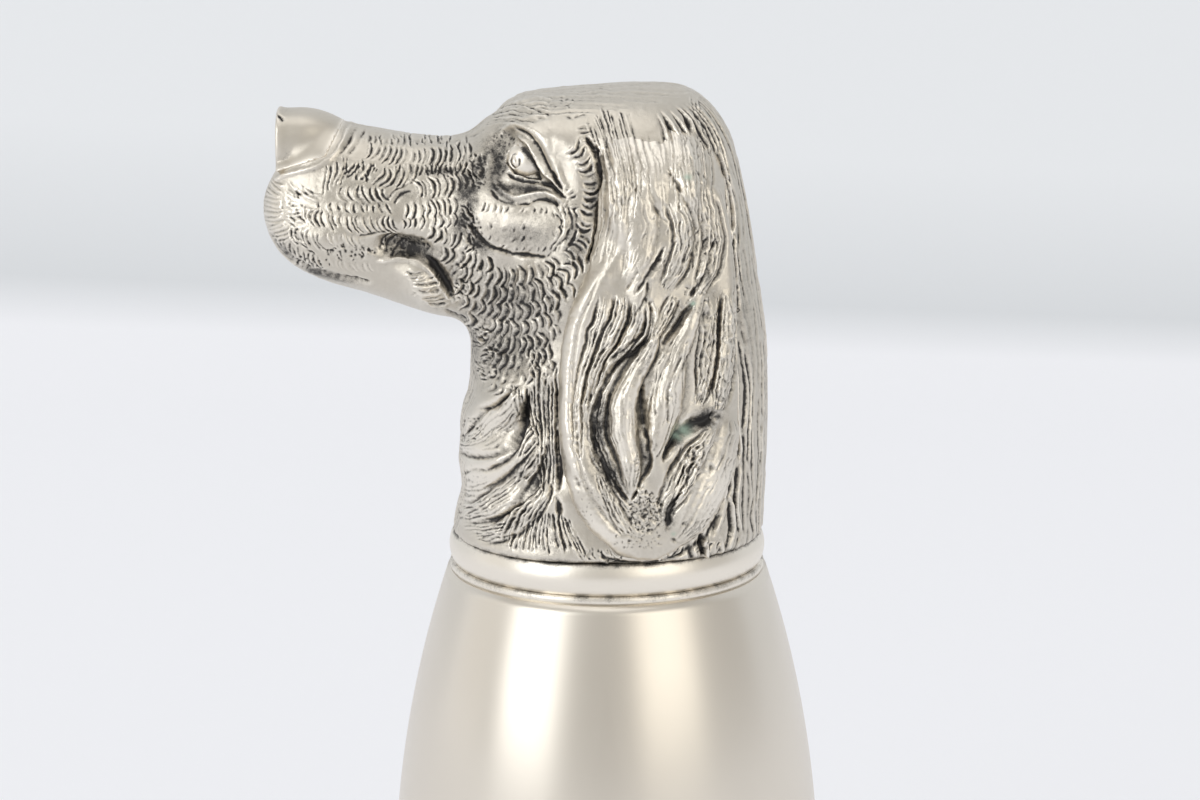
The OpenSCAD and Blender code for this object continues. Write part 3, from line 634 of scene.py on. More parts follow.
EAR_LINES = [
    # dark groove that winds down to the tip of the full lock
    ([(650, 300, 1.8), (653, 318, 2.2), (649, 336, 2.4), (636, 350, 2.4), (618, 364, 2.4),
      (605, 380, 2.4),
      (598, 400, 2.4), (594, 424, 2.6), (597, 450, 2.6), (607, 472, 2.4), (618, 488, 2.2), (628, 503, 1.8)],
     0.55, 0.45),
    ([(610, 392, 1.2), (606, 414, 1.6), (606, 436, 1.6), (613, 458, 1.6), (621, 476, 1.4)], 0.36, 0.4),
    ([(644, 318, 1.4), (640, 334, 1.8), (628, 346, 2), (612, 358, 1.8)], 0.40, 0.6),
    ([(645, 384, 1.6), (643, 404, 2.4), (643, 424, 2.2), (648, 444, 2.8), (648, 466, 2.8),
      (640, 486, 1.8),
      (631, 501, 1.4)], 0.70, 0.60),
    ([(720, 416, 2.6), (708, 418, 5), (694, 425, 5.6), (680, 434, 5), (669, 448, 3.4),
      (664, 460, 2)], 0.95, 0.8),
    ([(712, 410, 1.8), (716, 426, 2.6)], 0.65, 0.9),
    ([(681, 356, 1.4), (672, 378, 1.6), (667, 398, 1.8), (665, 420, 1.2)], 0.34, 0.4),
    ([(690, 352, 2), (686, 362, 2.8), (681, 370, 1.8)], 0.34, 0.4),
    ([(679, 494, 2.4), (671, 506, 4.2), (667, 528, 2.4)], 0.55, 0.75),
    ([(664, 246, 1.8), (657, 262, 2.4), (648, 276, 3), (636, 292, 1.8)], 0.50, 0.6),
    ([(713, 240, 1.4), (708, 266, 2.2), (700, 282, 3), (688, 296, 2)], 0.46, 0.55),
    ([(692, 302, 2), (684, 316, 3), (674, 330, 3), (663, 345, 1.8)], 0.36, 0.35),
    ([(650, 280, 1.6), (648, 292, 2.6), (646, 304, 2)], 0.46, 0.6),
    ([(668, 172, 1.4), (675, 180, 2.2), (681, 194, 1.6)], 0.32, 0.35),
    ([(652, 200, 1.2), (658, 212, 1.8), (667, 224, 1.4)], 0.32, 0.35),
    ([(577, 404, 1.4), (575, 424, 2), (577, 446, 1.6)], 0.36, 0.5),
    ([(577, 476, 1.4), (582, 488, 1.8)], 0.32, 0.5),
    ([(672, 540, 1.8), (678, 543, 2.2)], 0.36, 0.5),
    ([(694, 462, 1.2), (699, 474, 1.8), (694, 484, 1.2)], 0.30, 0.4),
    ([(711, 464, 1.2), (710, 474, 1.8)], 0.28, 0.35),
    ([(646, 296, 1.4), (640, 306, 1.8), (634, 316, 1.2)], 0.34, 0.4),
    ([(682, 446, 1.3), (676, 460, 1.7), (668, 474, 1.3)], 0.30, 0.6),
    ([(692, 446, 1.3), (684, 466, 1.7), (676, 484, 1.3)], 0.32, 0.6),
    ([(699, 444, 1.4), (691, 466, 1.8), (682, 488, 1.3)], 0.34, 0.6),
    ([(703, 440, 1.4), (703, 460, 2.0), (696, 480, 1.6), (688, 490, 1.2)], 0.36, 0.7),
    ([(640, 268, 1.4), (632, 280, 1.8), (626, 290, 1.2)], 0.30, 0.3),
]
# Rubbed places on the ear and the head, partly worn polish and partly painted highlight: place, half length,
# half breadth, tilt and strength
HEAD_POLISH_AND_HIGHLIGHT = [
    ((284, 208), 22, 36, 0, 0.60),
    ((502, 216), 20, 10, 8, 0.45),
    ((574, 165), 12, 26, 0, 0.40),
    ((545, 135), 14, 14, 0, 0.40),
    ((482, 480), 26, 50, 0, 0.95),
    ((490, 425), 24, 18, -20, 0.95),
    ((520, 538), 40, 16, 0, 0.50),
    ((560, 440), 8, 60, 0, 0.40),
    ((424, 288), 18, 12, 40, 0.50),
]
EAR_POLISH_AND_HIGHLIGHT = [
    ((645, 150), 62, 46, 0, 0.95),
    ((632, 236), 16, 40, 10, 0.60),
    ((676, 400), 16, 34, 10, 0.65),
    ((626, 430), 11, 40, 0, 0.75),
    ((712, 490), 18, 34, 24, 0.90),
    ((575, 400), 8, 110, 0, 0.80),
    ((600, 530), 30, 14, 40, 0.90),
]
# Speckled darkening on the ear, partly tarnish and partly painted shade in its hollows and behind it: place,
# half length, half breadth, tilt and strength
EAR_TARNISH_AND_PAINTED_SHADE = [
    ((600, 428), 15, 40, 4, 0.78),
    ((608, 470), 12, 30, -26, 0.80),
    ((626, 356), 30, 9, -42, 0.60),
    ((647, 456), 6, 22, 0, 0.70),
    ((705, 420), 16, 10, -25, 1.20),
    ((678, 442), 12, 7, -50, 0.80),
    ((680, 318), 24, 10, -52, 0.55),
    ((670, 514), 7, 18, 14, 0.85),
    ((716, 350), 12, 50, 0, 0.35),
    ((660, 270), 14, 20, 30, 0.30),
    ((646, 514), 20, 20, 0, 0.40),
    ((744, 350), 8, 60, 0, 0.40),
]
EAR_DASHES = [
    ((690, 160), 26, 34, 14, 9, 80, 1.1, 0.14),
    ((700, 240), 20, 34, 26, 9, 98, 1.1, 0.14),
    ((660, 240), 18, 26, 12, 8, 110, 1.1, 0.12),
    ((716, 350), 16, 56, 34, 12, 94, 1.2, 0.18),
    ((690, 470), 16, 28, 20, 10, 118, 1.2, 0.20),
    ((744, 420), 5, 70, 26, 12, 92, 1.1, 0.16),
    ((612, 500), 14, 30, 18, 9, 62, 1.1, 0.14),
    ((700, 520), 22, 18, 14, 6, 120, 1.1, 0.08),
]
EAR_PITS = [
    ((646, 512), 18, 22, 260, 1.0, 0.13),
    ((640, 470), 8, 20, 30, 1.0, 0.08),
    ((600, 444), 9, 26, 80, 1.0, 0.10),
    ((690, 300), 20, 16, 40, 1.1, 0.08),
    ((640, 540), 26, 10, 60, 1.0, 0.07),
    ((590, 500), 14, 26, 40, 0.9, 0.05),
]
# Green bloom: place and half width
VERDIGRIS = [((687, 178), 3), ((686, 431), 6), ((679, 437), 4), ((673, 535), 2), ((692, 303), 3)]


# Small tools for numbers

def soft_step(low, high, value):
    """0 at low and 1 at high, with a smooth change between them."""
    t = np.clip((value - low) / (high - low), 0.0, 1.0)
    return t * t * (3.0 - 2.0 * t)


def drift(x, y, size, seed, cells=64):
    """Smooth noise from -1 to 1, with bumps about one size across."""
    table = np.random.default_rng(seed).uniform(-1.0, 1.0, (cells, cells))
    i, j = np.floor(x / size).astype(int), np.floor(y / size).astype(int)
    s, t = soft_step(0.0, 1.0, x / size - i), soft_step(0.0, 1.0, y / size - j)
    i, j, k, m = i % cells, j % cells, (i + 1) % cells, (j + 1) % cells
    upper = table[i, j] * (1 - s) + table[k, j] * s
    lower = table[i, m] * (1 - s) + table[k, m] * s
    return upper * (1 - t) + lower * t


def layered(value, x, y, layers):
    """A value with layers of drift on it, each an amount, a size and a seed."""
    for amount, size, seed in layers:
        value = value + amount * drift(x, y, size, seed)
    return value


def flowing(line, steps=6):
    """A smooth curve through the points of a line."""
    p = np.array(line, float)
    if len(p) < 3:
        return p
    padded = np.vstack([2 * p[0] - p[1], p, 2 * p[-1] - p[-2]])
    t = (np.arange(steps) / steps)[:, None]
    out = []
    for i in range(len(p) - 1):
        a, b, c, d = padded[i:i + 4]
        out.append((2 * b + (c - a) * t + (2 * a - 5 * b + 4 * c - d) * t ** 2
                    + (3 * b - a - 3 * c + d) * t ** 3) / 2)
    return np.vstack([*out, p[-1]])


def sampled(curve, share):
    """Each coordinate of a curve at a share of its length, from 0 to 1."""
    at = share * (len(curve) - 1)
    return np.array([np.interp(at, np.arange(len(curve)), row) for row in curve.T])


def strewn(chance, place, long, broad):
    """A random place in an oval patch."""
    turn, radius = chance.uniform(0, 2 * np.pi), math.sqrt(chance.random())
    return place[0] + long * radius * math.cos(turn), place[1] + broad * radius * math.sin(turn)


def read_vectors(collection, name):
    """One vector attribute of a mesh's elements as an array."""
    out = np.zeros(len(collection) * 3, np.float32)
    collection.foreach_get(name, out)
    return out.reshape(-1, 3).astype(float)


def move_to(mesh, points):
    """Puts the vertices of a mesh in new places."""
    mesh.vertices.foreach_set("co", points.astype(np.float32).ravel())
    mesh.update()


# The stage's camera as a drawing frame

def lens_axes(look):
    """The lens's place, the directions to its right, up and ahead, and its focal length in pixels."""
    place = np.array(look.camera_place)
    ahead = np.array(look.camera_aim) - place
    ahead /= np.linalg.norm(ahead)
    right = np.cross(ahead, (0.0, 0.0, 1.0))
    right /= np.linalg.norm(right)
    return place, right, np.cross(right, ahead), ahead, look.lens / SENSOR_WIDE * PHOTO_WIDE


def photo_places(points, look):
    """Places of points in the photograph, in pixels, and the unit lines from the lens to them."""
    place, right, up, ahead, focal = lens_axes(look)
    sight = points - place
    depth = sight @ ahead
    x = PHOTO_WIDE / 2 + focal * (sight @ right) / depth
    y = PHOTO_HIGH / 2 - focal * (sight @ up) / depth
    return x, y, sight / np.linalg.norm(sight, axis=1)[:, None]


def shown_at(pixel, look, across):
    """The point of the plane y = across that a pixel of the photograph shows."""
    place, right, up, ahead, focal = lens_axes(look)
    ray = ahead + right * (pixel[0] - PHOTO_WIDE / 2) / focal + up * (PHOTO_HIGH / 2 - pixel[1]) / focal
    return place + ray * (across - place[1]) / ray[1]


class Casting:
    """The skin of one cast piece while it is chased: how far each vertex is raised, stained or darkened by
    painted shade, brightened by polish or a painted highlight, and greened.
    """

    def __init__(self, mesh, depth):
        self.mesh = mesh
        self.depth = depth
        self.points = read_vectors(mesh.vertices, "co")
        self.normals = read_vectors(mesh.vertex_normals, "vector")
        self.normals[np.abs(self.points[:, 1]) < SAME, 1] = 0.0
        self.rise, self.stain, self.green, self.polish_and_highlight = np.zeros((4, len(self.points)))
        pairs = np.zeros(len(mesh.edges) * 2, np.int32)
        mesh.edges.foreach_get("vertices", pairs)
        self.pairs = pairs.reshape(-1, 2)
        self.degree = np.bincount(pairs, minlength=len(self.points)).astype(float)

    def draw_on(self, x, y, reach):
        """Strokes are drawn from here on over two coordinates of each vertex, where they reach it."""
        self.x = layered(x, x, y, WAVER_ACROSS)
        self.y = layered(y, x, y, WAVER_DOWN)
        self.reach = reach
        self.worn = layered(WEAR_MEAN, x, y, WEAR)
        self.order = np.argsort(self.x)
        self.sorted_x = self.x[self.order]

    def draw_on_photo(self, look):
        """Strokes are drawn from here on over the photograph, where the lens sees the skin."""
        x, y, sight = photo_places(self.points, look)
        facing = -(self.normals * sight).sum(axis=1)
        self.seen = soft_step(*SEEN_FACING, facing)
        self.draw_on(x, y, soft_step(*DRAWN_FACING, facing))
        self.worn = 1 + (self.worn - 1) * self.seen

    def within(self, low, high):
        """Vertices inside a window of the drawing."""
        first, last = np.searchsorted(self.sorted_x, (low[0], high[0]))
        found = self.order[first:last]
        y = self.y[found]
        return found[(y > low[1]) & (y < high[1]) & (self.reach[found] > 0)]

    def along(self, line, margin, steps):
        """Vertices near a line, with their way along it, distance to its side, half width and its length."""
        curve = flowing(line, steps)
        widest = curve[:, 2].max() * margin
        found = self.within(curve[:, :2].min(axis=0) - widest, curve[:, :2].max(axis=0) + widest)
        place = np.stack([self.x[found], self.y[found]], axis=1)
        parts = np.diff(curve[:, :2], axis=0)
        lengths = np.maximum(np.linalg.norm(parts, axis=1), SAME)
        starts = np.concatenate([[0.0], np.cumsum(lengths)])
        best = np.full(len(found), FAR)
        way, side, half = np.zeros(len(found)), np.zeros(len(found)), np.ones(len(found))
        for k, part in enumerate(parts):
            away = place - curve[k, :2]
            t = np.clip((away @ part) / lengths[k] ** 2, 0.0, 1.0)
            off = away - t[:, None] * part
            distance = np.hypot(off[:, 0], off[:, 1])
            closer = distance < best
            best[closer] = distance[closer]
            turn = part[0] * away[closer, 1] - part[1] * away[closer, 0]
            side[closer] = np.where(turn < 0, -distance[closer], distance[closer])
            way[closer] = starts[k] + t[closer] * lengths[k]
            half[closer] = curve[k, 2] + t[closer] * (curve[k + 1, 2] - curve[k, 2])
        near = best < half * margin
        return found[near], way[near], side[near], half[near], starts[-1]

    def chase(self, line, depth, stain=0.0, lip=0.0, steps=6):
        """A groove along a line with a lip beside it, or a ridge where the depth is negative."""
        found, way, side, half, length = self.along(line, margin=2.8, steps=steps)
        tip = np.minimum(way, length - way) / np.maximum(half * 2.0, 0.1)
        fade = (BLUNT + (1 - BLUNT) * np.clip(tip, 0, 1)) * self.reach[found]
        groove = np.exp(-(side / half) ** 2)
        if depth > 0:
            groove *= 1 + (self.worn[found] - 1) * soft_step(*WEARING, half)
        bank = np.exp(-(side / half - BANK) ** 2)
        self.rise[found] -= depth * self.depth * (groove - lip * bank) * fade
        if depth >= 0:
            self.darken(found, stain * groove * fade)

    def chase_all(self, lines):
        """Chases each line of a list with its depth and stain."""
        for line, depth, stain in lines:
            self.chase(line, depth, stain)

    def each(self, tool, items, seed, *more):
        """Works every item of a list with one tool, each from a seed of its own."""
        for k, item in enumerate(items):
            tool(item, seed + k, *more)

    def darken(self, found, stain):
        """Stains some vertices, where they aren't darker already."""
        self.stain[found] = np.maximum(self.stain[found], stain)

    def oval(self, place, long, broad, tilt):
        """Vertices round a place, with a soft weight inside a tilted oval."""
        reach = 2.4 * max(long, broad)
        found = self.within(np.array(place) - reach, np.array(place) + reach)
        dx, dy = self.x[found] - place[0], self.y[found] - place[1]
        c, s = math.cos(math.radians(tilt)), math.sin(math.radians(tilt))
        shape = np.exp(-((dx * c + dy * s) / long) ** 2 - ((dy * c - dx * s) / broad) ** 2)
        return found, shape * self.reach[found]

    def swell(self, place, long, broad, tilt, rise):
        """A soft pad or hollow."""
        found, shape = self.oval(place, long, broad, tilt)
        self.rise[found] += rise * shape

    def shade(self, place, long, broad, tilt, strength):
        """Speckled darkening on an unbroken skin, partly dirt and tarnish and partly painted shade."""
        found, shape = self.oval(place, long, broad, tilt)
        self.darken(found, strength * shape * layered(SPECK_MEAN, self.x[found], self.y[found], SPECKS))

    def roughen(self):
        """The uneven skin of a casting."""
        self.rise += layered(0.0, self.x, self.y, CAST_GRAIN)

    def polish(self, place, long, broad, tilt, strength):
        """A place that hands have rubbed bright, partly worn polish and partly a painted highlight."""
        found, shape = self.oval(place, long, broad, tilt)
        self.polish_and_highlight[found] = np.maximum(self.polish_and_highlight[found], strength * shape)

    def punch_row(self, row, seed, thick=1.0):
        """A row of short curved hairs set across a guide line, no two alike."""
        line, spacing, bow, lean, depth = row
        chance = np.random.default_rng(seed)
        guide = flowing(line).T
        way = np.concatenate([[0.0], np.cumsum(np.hypot(*np.diff(guide[:2])))])
        at = spacing * chance.uniform(0.2, 0.6)
        while at < way[-1]:
            x, y, half = (np.interp(at, way, row) for row in guide)
            ahead = [np.interp(at + 2, way, row) - np.interp(at - 2, way, row) for row in guide[:2]]
            tx, ty = np.array(ahead) / np.hypot(*ahead)
            curve, slant = bow * chance.uniform(0.6, 1.35), lean + chance.uniform(-1.3, 1.3)
            width = HAIR * thick * chance.uniform(0.8, 1.25)
            hair = []
            for u in np.linspace(-chance.uniform(0.7, 1.15), chance.uniform(0.7, 1.15), 5):
                on = curve * (1 - u * u) - slant * u
                hair.append((x + tx * on - ty * u * half, y + ty * on + tx * u * half,
                             width * (1.05 - 0.4 * u * u)))
            strong = chance.uniform(0.5, 1.25)
            self.chase(hair, depth * strong, stain=0.6 * min(strong, 1), lip=0.65, steps=3)
            at += spacing * chance.uniform(0.75, 1.2)

    def lay_lock(self, lock, seed):
        """A lock of hair laid over what is below it, with a groove at its edges and broken strands."""
        line, crown, strands, strand_depth, edge = lock
        found, way, side, half, length = self.along(line, margin=1.5, steps=6)
        across = side / half
        root, tip = LOCK_ENDS
        ends = soft_step(0, root, way / length) * soft_step(0, tip, 1 - way / length) * self.reach[found]
        inside = soft_step(*LOCK_EDGE, np.abs(across)) * ends
        form = crown * (1 - np.clip(across, -1, 1) ** 2)
        border = np.exp(-((np.abs(across) - LOCK_GROOVE[0]) / LOCK_GROOVE[1]) ** 2) * ends
        self.rise[found] = self.rise[found] * (1 - inside) + form * inside - edge * self.depth * border
        self.stain[found] = np.maximum(self.stain[found] * (1 - inside), 0.45 * border * min(edge / 0.4, 1))
        chance = np.random.default_rng(seed)
        guide = flowing(line)
        slope = np.gradient(guide[:, :2], axis=0)
        slope /= np.linalg.norm(slope, axis=1)[:, None]
        for k in range(strands):
            offset = 0.85 * ((k + chance.uniform(0.15, 0.85)) / strands * 2 - 1)
            start = chance.uniform(0.02, 0.25)
            while start < 0.85:
                end = min(start + chance.uniform(0.2, 0.6), 0.97)
                share = np.linspace(start, end, 5)
                x, y, half = sampled(guide, share)
                dx, dy = sampled(slope, share)
                sway = (offset + chance.uniform(-0.12, 0.12, 5)) * half
                width = HAIR * chance.uniform(0.75, 1.15) * np.array((0.6, 0.9, 1.0, 0.9, 0.6))
                strand = np.stack([x - dy * sway, y + dx * sway, width], axis=1)
                self.chase(strand, strand_depth * chance.uniform(0.5, 1.3), stain=0.4, lip=0.45, steps=3)
                start = end + chance.uniform(0.0, 0.12)

    def draw_fan(self, fan, seed):
        """Hairs drawn from a line of roots to a line of tips."""
        roots, tips, count, half, depth, curl = fan
        chance = np.random.default_rng(seed)
        a, b = flowing(roots), flowing(tips)
        for k in range(count):
            t = np.clip((k + 0.4 * chance.uniform(-1, 1)) / max(count - 1, 1), 0, 1)
            root, tip = sampled(a, t), sampled(b, t)
            across = np.array((root[1] - tip[1], tip[0] - root[0])) / np.hypot(*(tip - root))
            start, end = chance.uniform(0.0, 0.2), chance.uniform(0.75, 1.0)
            bend = curl * chance.uniform(0.6, 1.4)
            hair = []
            for u in np.linspace(start, end, 4):
                at = root + (tip - root) * u + across * bend * 4 * u * (1 - u)
                hair.append((*at, half * chance.uniform(0.6, 1.1)))
            strong = chance.uniform(0.5, 1.3)
            self.chase(hair, depth * strong, stain=min(0.75, 2.2 * abs(depth)), lip=0.5, steps=4)

    def strew(self, patch, seed):
        """Short dashes strewn over a patch, all combed nearly one way."""
        place, long, broad, count, length, angle, half, depth = patch
        chance = np.random.default_rng(seed)
        for _ in range(count):
            x, y = strewn(chance, place, long, broad)
            lean = math.radians(angle + chance.uniform(-24, 24))
            c, s = math.cos(lean), math.sin(lean)
            reach, bow = length / 2 * chance.uniform(0.5, 1.4), length * chance.uniform(-0.2, 0.2)
            dash = [(x - c * reach, y - s * reach, half * 0.6), (x - s * bow, y + c * bow, half),
                    (x + c * reach, y + s * reach, half * 0.6)]
            self.chase(dash, depth * chance.uniform(0.4, 1.4), stain=0.45, lip=0.4, steps=3)

    def pit_patch(self, patch, seed):
        """Small pits strewn over a patch."""
        place, long, broad, count, half, depth = patch
        chance = np.random.default_rng(seed)
        for _ in range(count):
            at = strewn(chance, place, long, broad)
            found, shape = self.oval(at, half * chance.uniform(0.7, 1.6), half * chance.uniform(0.7, 1.6), 0)
            self.rise[found] -= depth * self.depth * shape
            self.darken(found, 0.45 * shape)

    def dip(self, outline, depth, soft):
        """The skin inside an outline is sunk, so that a bead set there shows."""
        p = np.array(outline, float)
        found = self.within(p.min(axis=0) - 4 * soft, p.max(axis=0) + 4 * soft)
        x, y = self.x[found], self.y[found]
        inside = np.zeros(len(found), bool)
        nearest = np.full(len(found), FAR)
        for (x0, y0), (x1, y1) in zip(p, np.roll(p, -1, axis=0)):
            crosses = (y0 > y) != (y1 > y)
            where = x0 + (x1 - x0) * (y - y0) / ((y1 - y0) or FAR)
            inside ^= crosses & (x < where)
            t = ((x - x0) * (x1 - x0) + (y - y0) * (y1 - y0)) / ((x1 - x0) ** 2 + (y1 - y0) ** 2)
            t = np.clip(t, 0, 1)
            nearest = np.minimum(nearest, np.hypot(x - x0 - t * (x1 - x0), y - y0 - t * (y1 - y0)))
        signed = np.where(inside, nearest, -nearest)
        self.rise[found] -= depth * soft_step(-soft, soft, signed)

    def bloom(self, place, half):
        """A spot of green bloom."""
        found, shape = self.oval(place, half, half, 0)
        self.green[found] = np.maximum(self.green[found], shape)

    def weather_and_paint_light(self, shades, rubbed):
        """Dirt and painted shade, polish and painted highlights, and green bloom."""
        for patch in shades:
            self.shade(*patch)
        for patch in rubbed:
            self.polish(*patch)
        for place, half in VERDIGRIS:
            self.bloom(place, half)

    def blurred(self, values, passes):
        """Vectors averaged with their neighbours again and again."""
        a, b = self.pairs.T
        for _ in range(passes):
            sums = [np.bincount(a, c[b], len(c)) + np.bincount(b, c[a], len(c)) for c in values.T]
            values = 0.5 * values + 0.5 * np.stack(sums, axis=1) / self.degree[:, None]
        return values

    def press(self, hollow_tarnish_and_shade=HEAD_HOLLOW_TARNISH_AND_SHADE):
        """Moves the vertices and stores the stains as attributes of the mesh, with tarnish and painted shade
        in the hollows and painted highlights on the ridges.
        """
        moved = self.points + self.normals * (self.rise * MM)[:, None]
        move_to(self.mesh, moved)
        normals = read_vectors(self.mesh.vertex_normals, "vector")
        hollow = 0.0
        for passes, full, weight in HOLLOWS:
            height = ((self.blurred(moved, passes) - moved) * normals).sum(axis=1) / MM
            hollow = hollow + np.clip(height / full, -1, 1) * weight
        # patina: tarnish and painted shade from the hollows and the stains; rubbed: worn polish and painted
        # highlights on ridges and rubbed patches
        dark = hollow_tarnish_and_shade * np.clip(hollow, 0, 1) + STAIN_SHARE * self.stain
        store(self.mesh, "patina", np.clip(dark * (1 - RUBBED_OFF * self.polish_and_highlight), 0, 1))
        store(self.mesh, "rubbed", np.clip(self.polish_and_highlight - RIDGE_WEAR_AND_HIGHLIGHT * hollow, 0, 1))
        store(self.mesh, "verdigris", self.green)


def store(mesh, name, values):
    """A value at each vertex that a material can read."""
    attribute = mesh.attributes.get(name) or mesh.attributes.new(name, "FLOAT", "POINT")
    attribute.data.foreach_set("value", np.asarray(values, np.float32))


# Meshes from the frame's solids and from spun profiles

def placed(name, data):
    """A new object in the scene."""
    obj = bpy.data.objects.new(name, data)
    bpy.context.scene.collection.objects.link(obj)
    return obj


def piece(name, mesh, material, body="root", nodes=()):
    """A finished piece that rides on a body and stands for nodes of the frame."""
    obj = placed(name, mesh)
    mesh.materials.clear()
    mesh.materials.append(material)
    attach(obj, body)
    if nodes:
        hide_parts(*nodes)
    return obj


def both_sides(left, finish, node_stem):
    """A finished piece on the near side, and its mirror image on the far side."""
    right = mirrored(left, left.name.replace("left", "right"))
    for mesh, side in ((left, "_left"), (right, "_right")):
        piece(mesh.name, mesh, material(finish), nodes=(node_stem + side,))


def modified(mesh, *settings):
    """The mesh after a row of modifiers, each a type and its values."""
    obj = placed("work", mesh)
    for kind, values in settings:
        modifier = obj.modifiers.new(kind, kind)
        for key, value in values.items():
            setattr(modifier, key, value)
    graph = bpy.context.evaluated_depsgraph_get()
    made = bpy.data.meshes.new_from_object(
        obj.evaluated_get(graph), preserve_all_data_layers=True, depsgraph=graph)
    bpy.data.objects.remove(obj)
    return made


def split(levels):
    """The modifier that splits each face in four, a number of times."""
    return "SUBSURF", {"levels": levels, "render_levels": levels}


def melted(bm, name, voxel, passes, *more):
    """A solid remeshed and with its facets melted, and with more modifiers after that."""
    return modified(as_mesh(bm, name), ("REMESH", {"mode": "VOXEL", "voxel_size": voxel}),
                    ("SMOOTH", {"factor": 0.5, "iterations": passes}), *more)


def cut(bm, place, normal):
    """Takes away what lies before a plane."""
    bmesh.ops.bisect_plane(bm, geom=bm.verts[:] + bm.edges[:] + bm.faces[:], dist=CUT_GRAIN, plane_co=place,
                           plane_no=normal, clear_outer=True)


def merged_copy(*nodes):
    """A bmesh with copies of the frame's nodes, their loose triangles merged."""
    bm = bmesh.new()
    for name in nodes:
        bm.from_mesh(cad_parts[name].data)
    bmesh.ops.remove_doubles(bm, verts=bm.verts, dist=SAME)
    return bm


def as_mesh(bm, name):
    """A mesh from a bmesh, which is used up."""
    mesh = bpy.data.meshes.new(name)
    bm.to_mesh(mesh)
    bm.free()
    return mesh


def shade_smooth(mesh):
    """Smooth shading on every face."""
    mesh.polygons.foreach_set("use_smooth", np.ones(len(mesh.polygons), bool))
    mesh.update()


def triangle_count(mesh):
    """How many triangles the faces make."""
    return sum(len(p.vertices) - 2 for p in mesh.polygons)


def thinned(mesh, limit):
    """The mesh with flat places thinned until it has no more triangles than the limit."""
    count = triangle_count(mesh)
    if count <= limit:
        return mesh
    return modified(mesh, ("DECIMATE", {"ratio": limit / count, "use_collapse_triangulate": True}))


def mirrored(mesh, name):
    """The same piece on the other side of the cup's middle plane."""
    bm = bmesh.new()
    bm.from_mesh(mesh)
    bmesh.ops.scale(bm, vec=(1, -1, 1), verts=bm.verts)
    bmesh.ops.reverse_faces(bm, faces=bm.faces)
    return as_mesh(bm, name)


def spun(profile, steps, name):
    """A closed profile of (radius, height) turned round the cup's axis."""
    bm = bmesh.new()
    verts = [bm.verts.new((r, 0.0, z)) for r, z in profile]
    edges = [bm.edges.new((verts[i], verts[(i + 1) % len(verts)])) for i in range(len(verts))]
    bmesh.ops.spin(bm, geom=verts + edges, cent=(0, 0, 0), axis=(0, 0, 1), angle=2 * math.pi, steps=steps,
                   use_merge=True)
    bmesh.ops.remove_doubles(bm, verts=bm.verts, dist=SAME)
    bmesh.ops.recalc_face_normals(bm, faces=bm.faces)
    mesh = as_mesh(bm, name)
    shade_smooth(mesh)
    return mesh


def arc(cx, cz, radius, start, end, count):
    """Points on an arc of a profile, angles in degrees."""
    return [(cx + radius * math.cos(math.radians(a)), cz + radius * math.sin(math.radians(a)))
            for a in np.linspace(start, end, count)]


# Materials

# Noises of the two skins, each a scale and a detail
BROKEN, BLOTCH, FLECK = (1400.0, 3.0), (160.0, 3.0), (5200.0, 2.0)
SATIN_GRAIN, CLOUD = (6500.0, 2.0), (60.0, 4.0)
# How far the three noises break up a stain, and where tarnish starts and is full
STAIN_BREAKS = (0.45, 0.25, 0.5)
TARNISH_RANGE = {"From Min": 0.08, "From Max": 0.80}
# How much polish a rubbed place or painted highlight takes, how far bloom spreads, and the flecks' share of
# the height
POLISH_SHARE = 0.95
BLOOM_SPREAD = 0.35
FLECK_HEIGHT = 0.6
# What tarnish, rubbing, bloom and blotches add to the roughness
ROUGHER = (0.28, -0.07, 0.3, 0.06)
# Darker satin, how much of it the clouds show and how much rougher they are
SATIN_CLOUD = (0.62, 0.585, 0.525, 1)
CLOUD_SHADE, CLOUD_ROUGH = 0.22, 0.10
# Strength and depth of the satin's grain, and depth of the casting's
SATIN_BUMP = (0.12, 0.00003)
CAST_BUMP = 0.0001
# Finishes of the castings: the setting with their colour, what they add to the roughness, and their bump
FINISHES = {
    "Antique silver": ("silver", 0.0, 0.4),
    "Smooth silver": ("silver", 0.06, 0.06),
    "Bright silver": ("polish", -0.04, 0.1),
}


def new_group(name, inputs, outputs):
    """A node group with the sockets of its ends, from names and kinds."""
    group = bpy.data.node_groups.new(name, "ShaderNodeTree")
    for side, sockets in (("INPUT", inputs), ("OUTPUT", outputs)):
        for label, kind in sockets.items():
            group.interface.new_socket(label, in_out=side, socket_type="NodeSocket" + kind)
    return group, group.nodes.new("NodeGroupInput").outputs, group.nodes.new("NodeGroupOutput").inputs


def node(tree, kind, values=None, **settings):
    """A node with its settings, and its unlinked inputs by name or number."""
    made = tree.nodes.new(kind)
    for key, value in settings.items():
        setattr(made, key, value)
    for key, value in (values or {}).items():
        made.inputs[key].default_value = value
    return made


def feed(tree, socket, value):
    """Gives a socket a value of its own or a link."""
    if isinstance(value, (int, float, tuple)):
        socket.default_value = value
    else:
        tree.links.new(value, socket)


def math_node(tree, operation, first, second, clamp=False):
    """The result of a sum, a product or the like."""
    made = node(tree, "ShaderNodeMath", operation=operation, use_clamp=clamp)
    feed(tree, made.inputs[0], first)
    feed(tree, made.inputs[1], second)
    return made.outputs[0]


def plus(tree, first, second, clamp=False):
    """A sum."""
    return math_node(tree, "ADD", first, second, clamp)


def times(tree, first, second, clamp=False):
    """A product."""
    return math_node(tree, "MULTIPLY", first, second, clamp)


def mixed(tree, factor, first, second):
    """A colour between two others."""
    made = node(tree, "ShaderNodeMix", data_type="RGBA")
    for key, value in ((0, factor), (6, first), (7, second)):
        feed(tree, made.inputs[key], value)
    return made.outputs[2]


def noise(tree, vector, scale, detail):
    """A noise of a scale and a detail."""
    made = node(tree, "ShaderNodeTexNoise", {"Scale": scale, "Detail": detail, "Roughness": 0.5})
    tree.links.new(vector, made.inputs["Vector"])
    return made.outputs["Fac"]


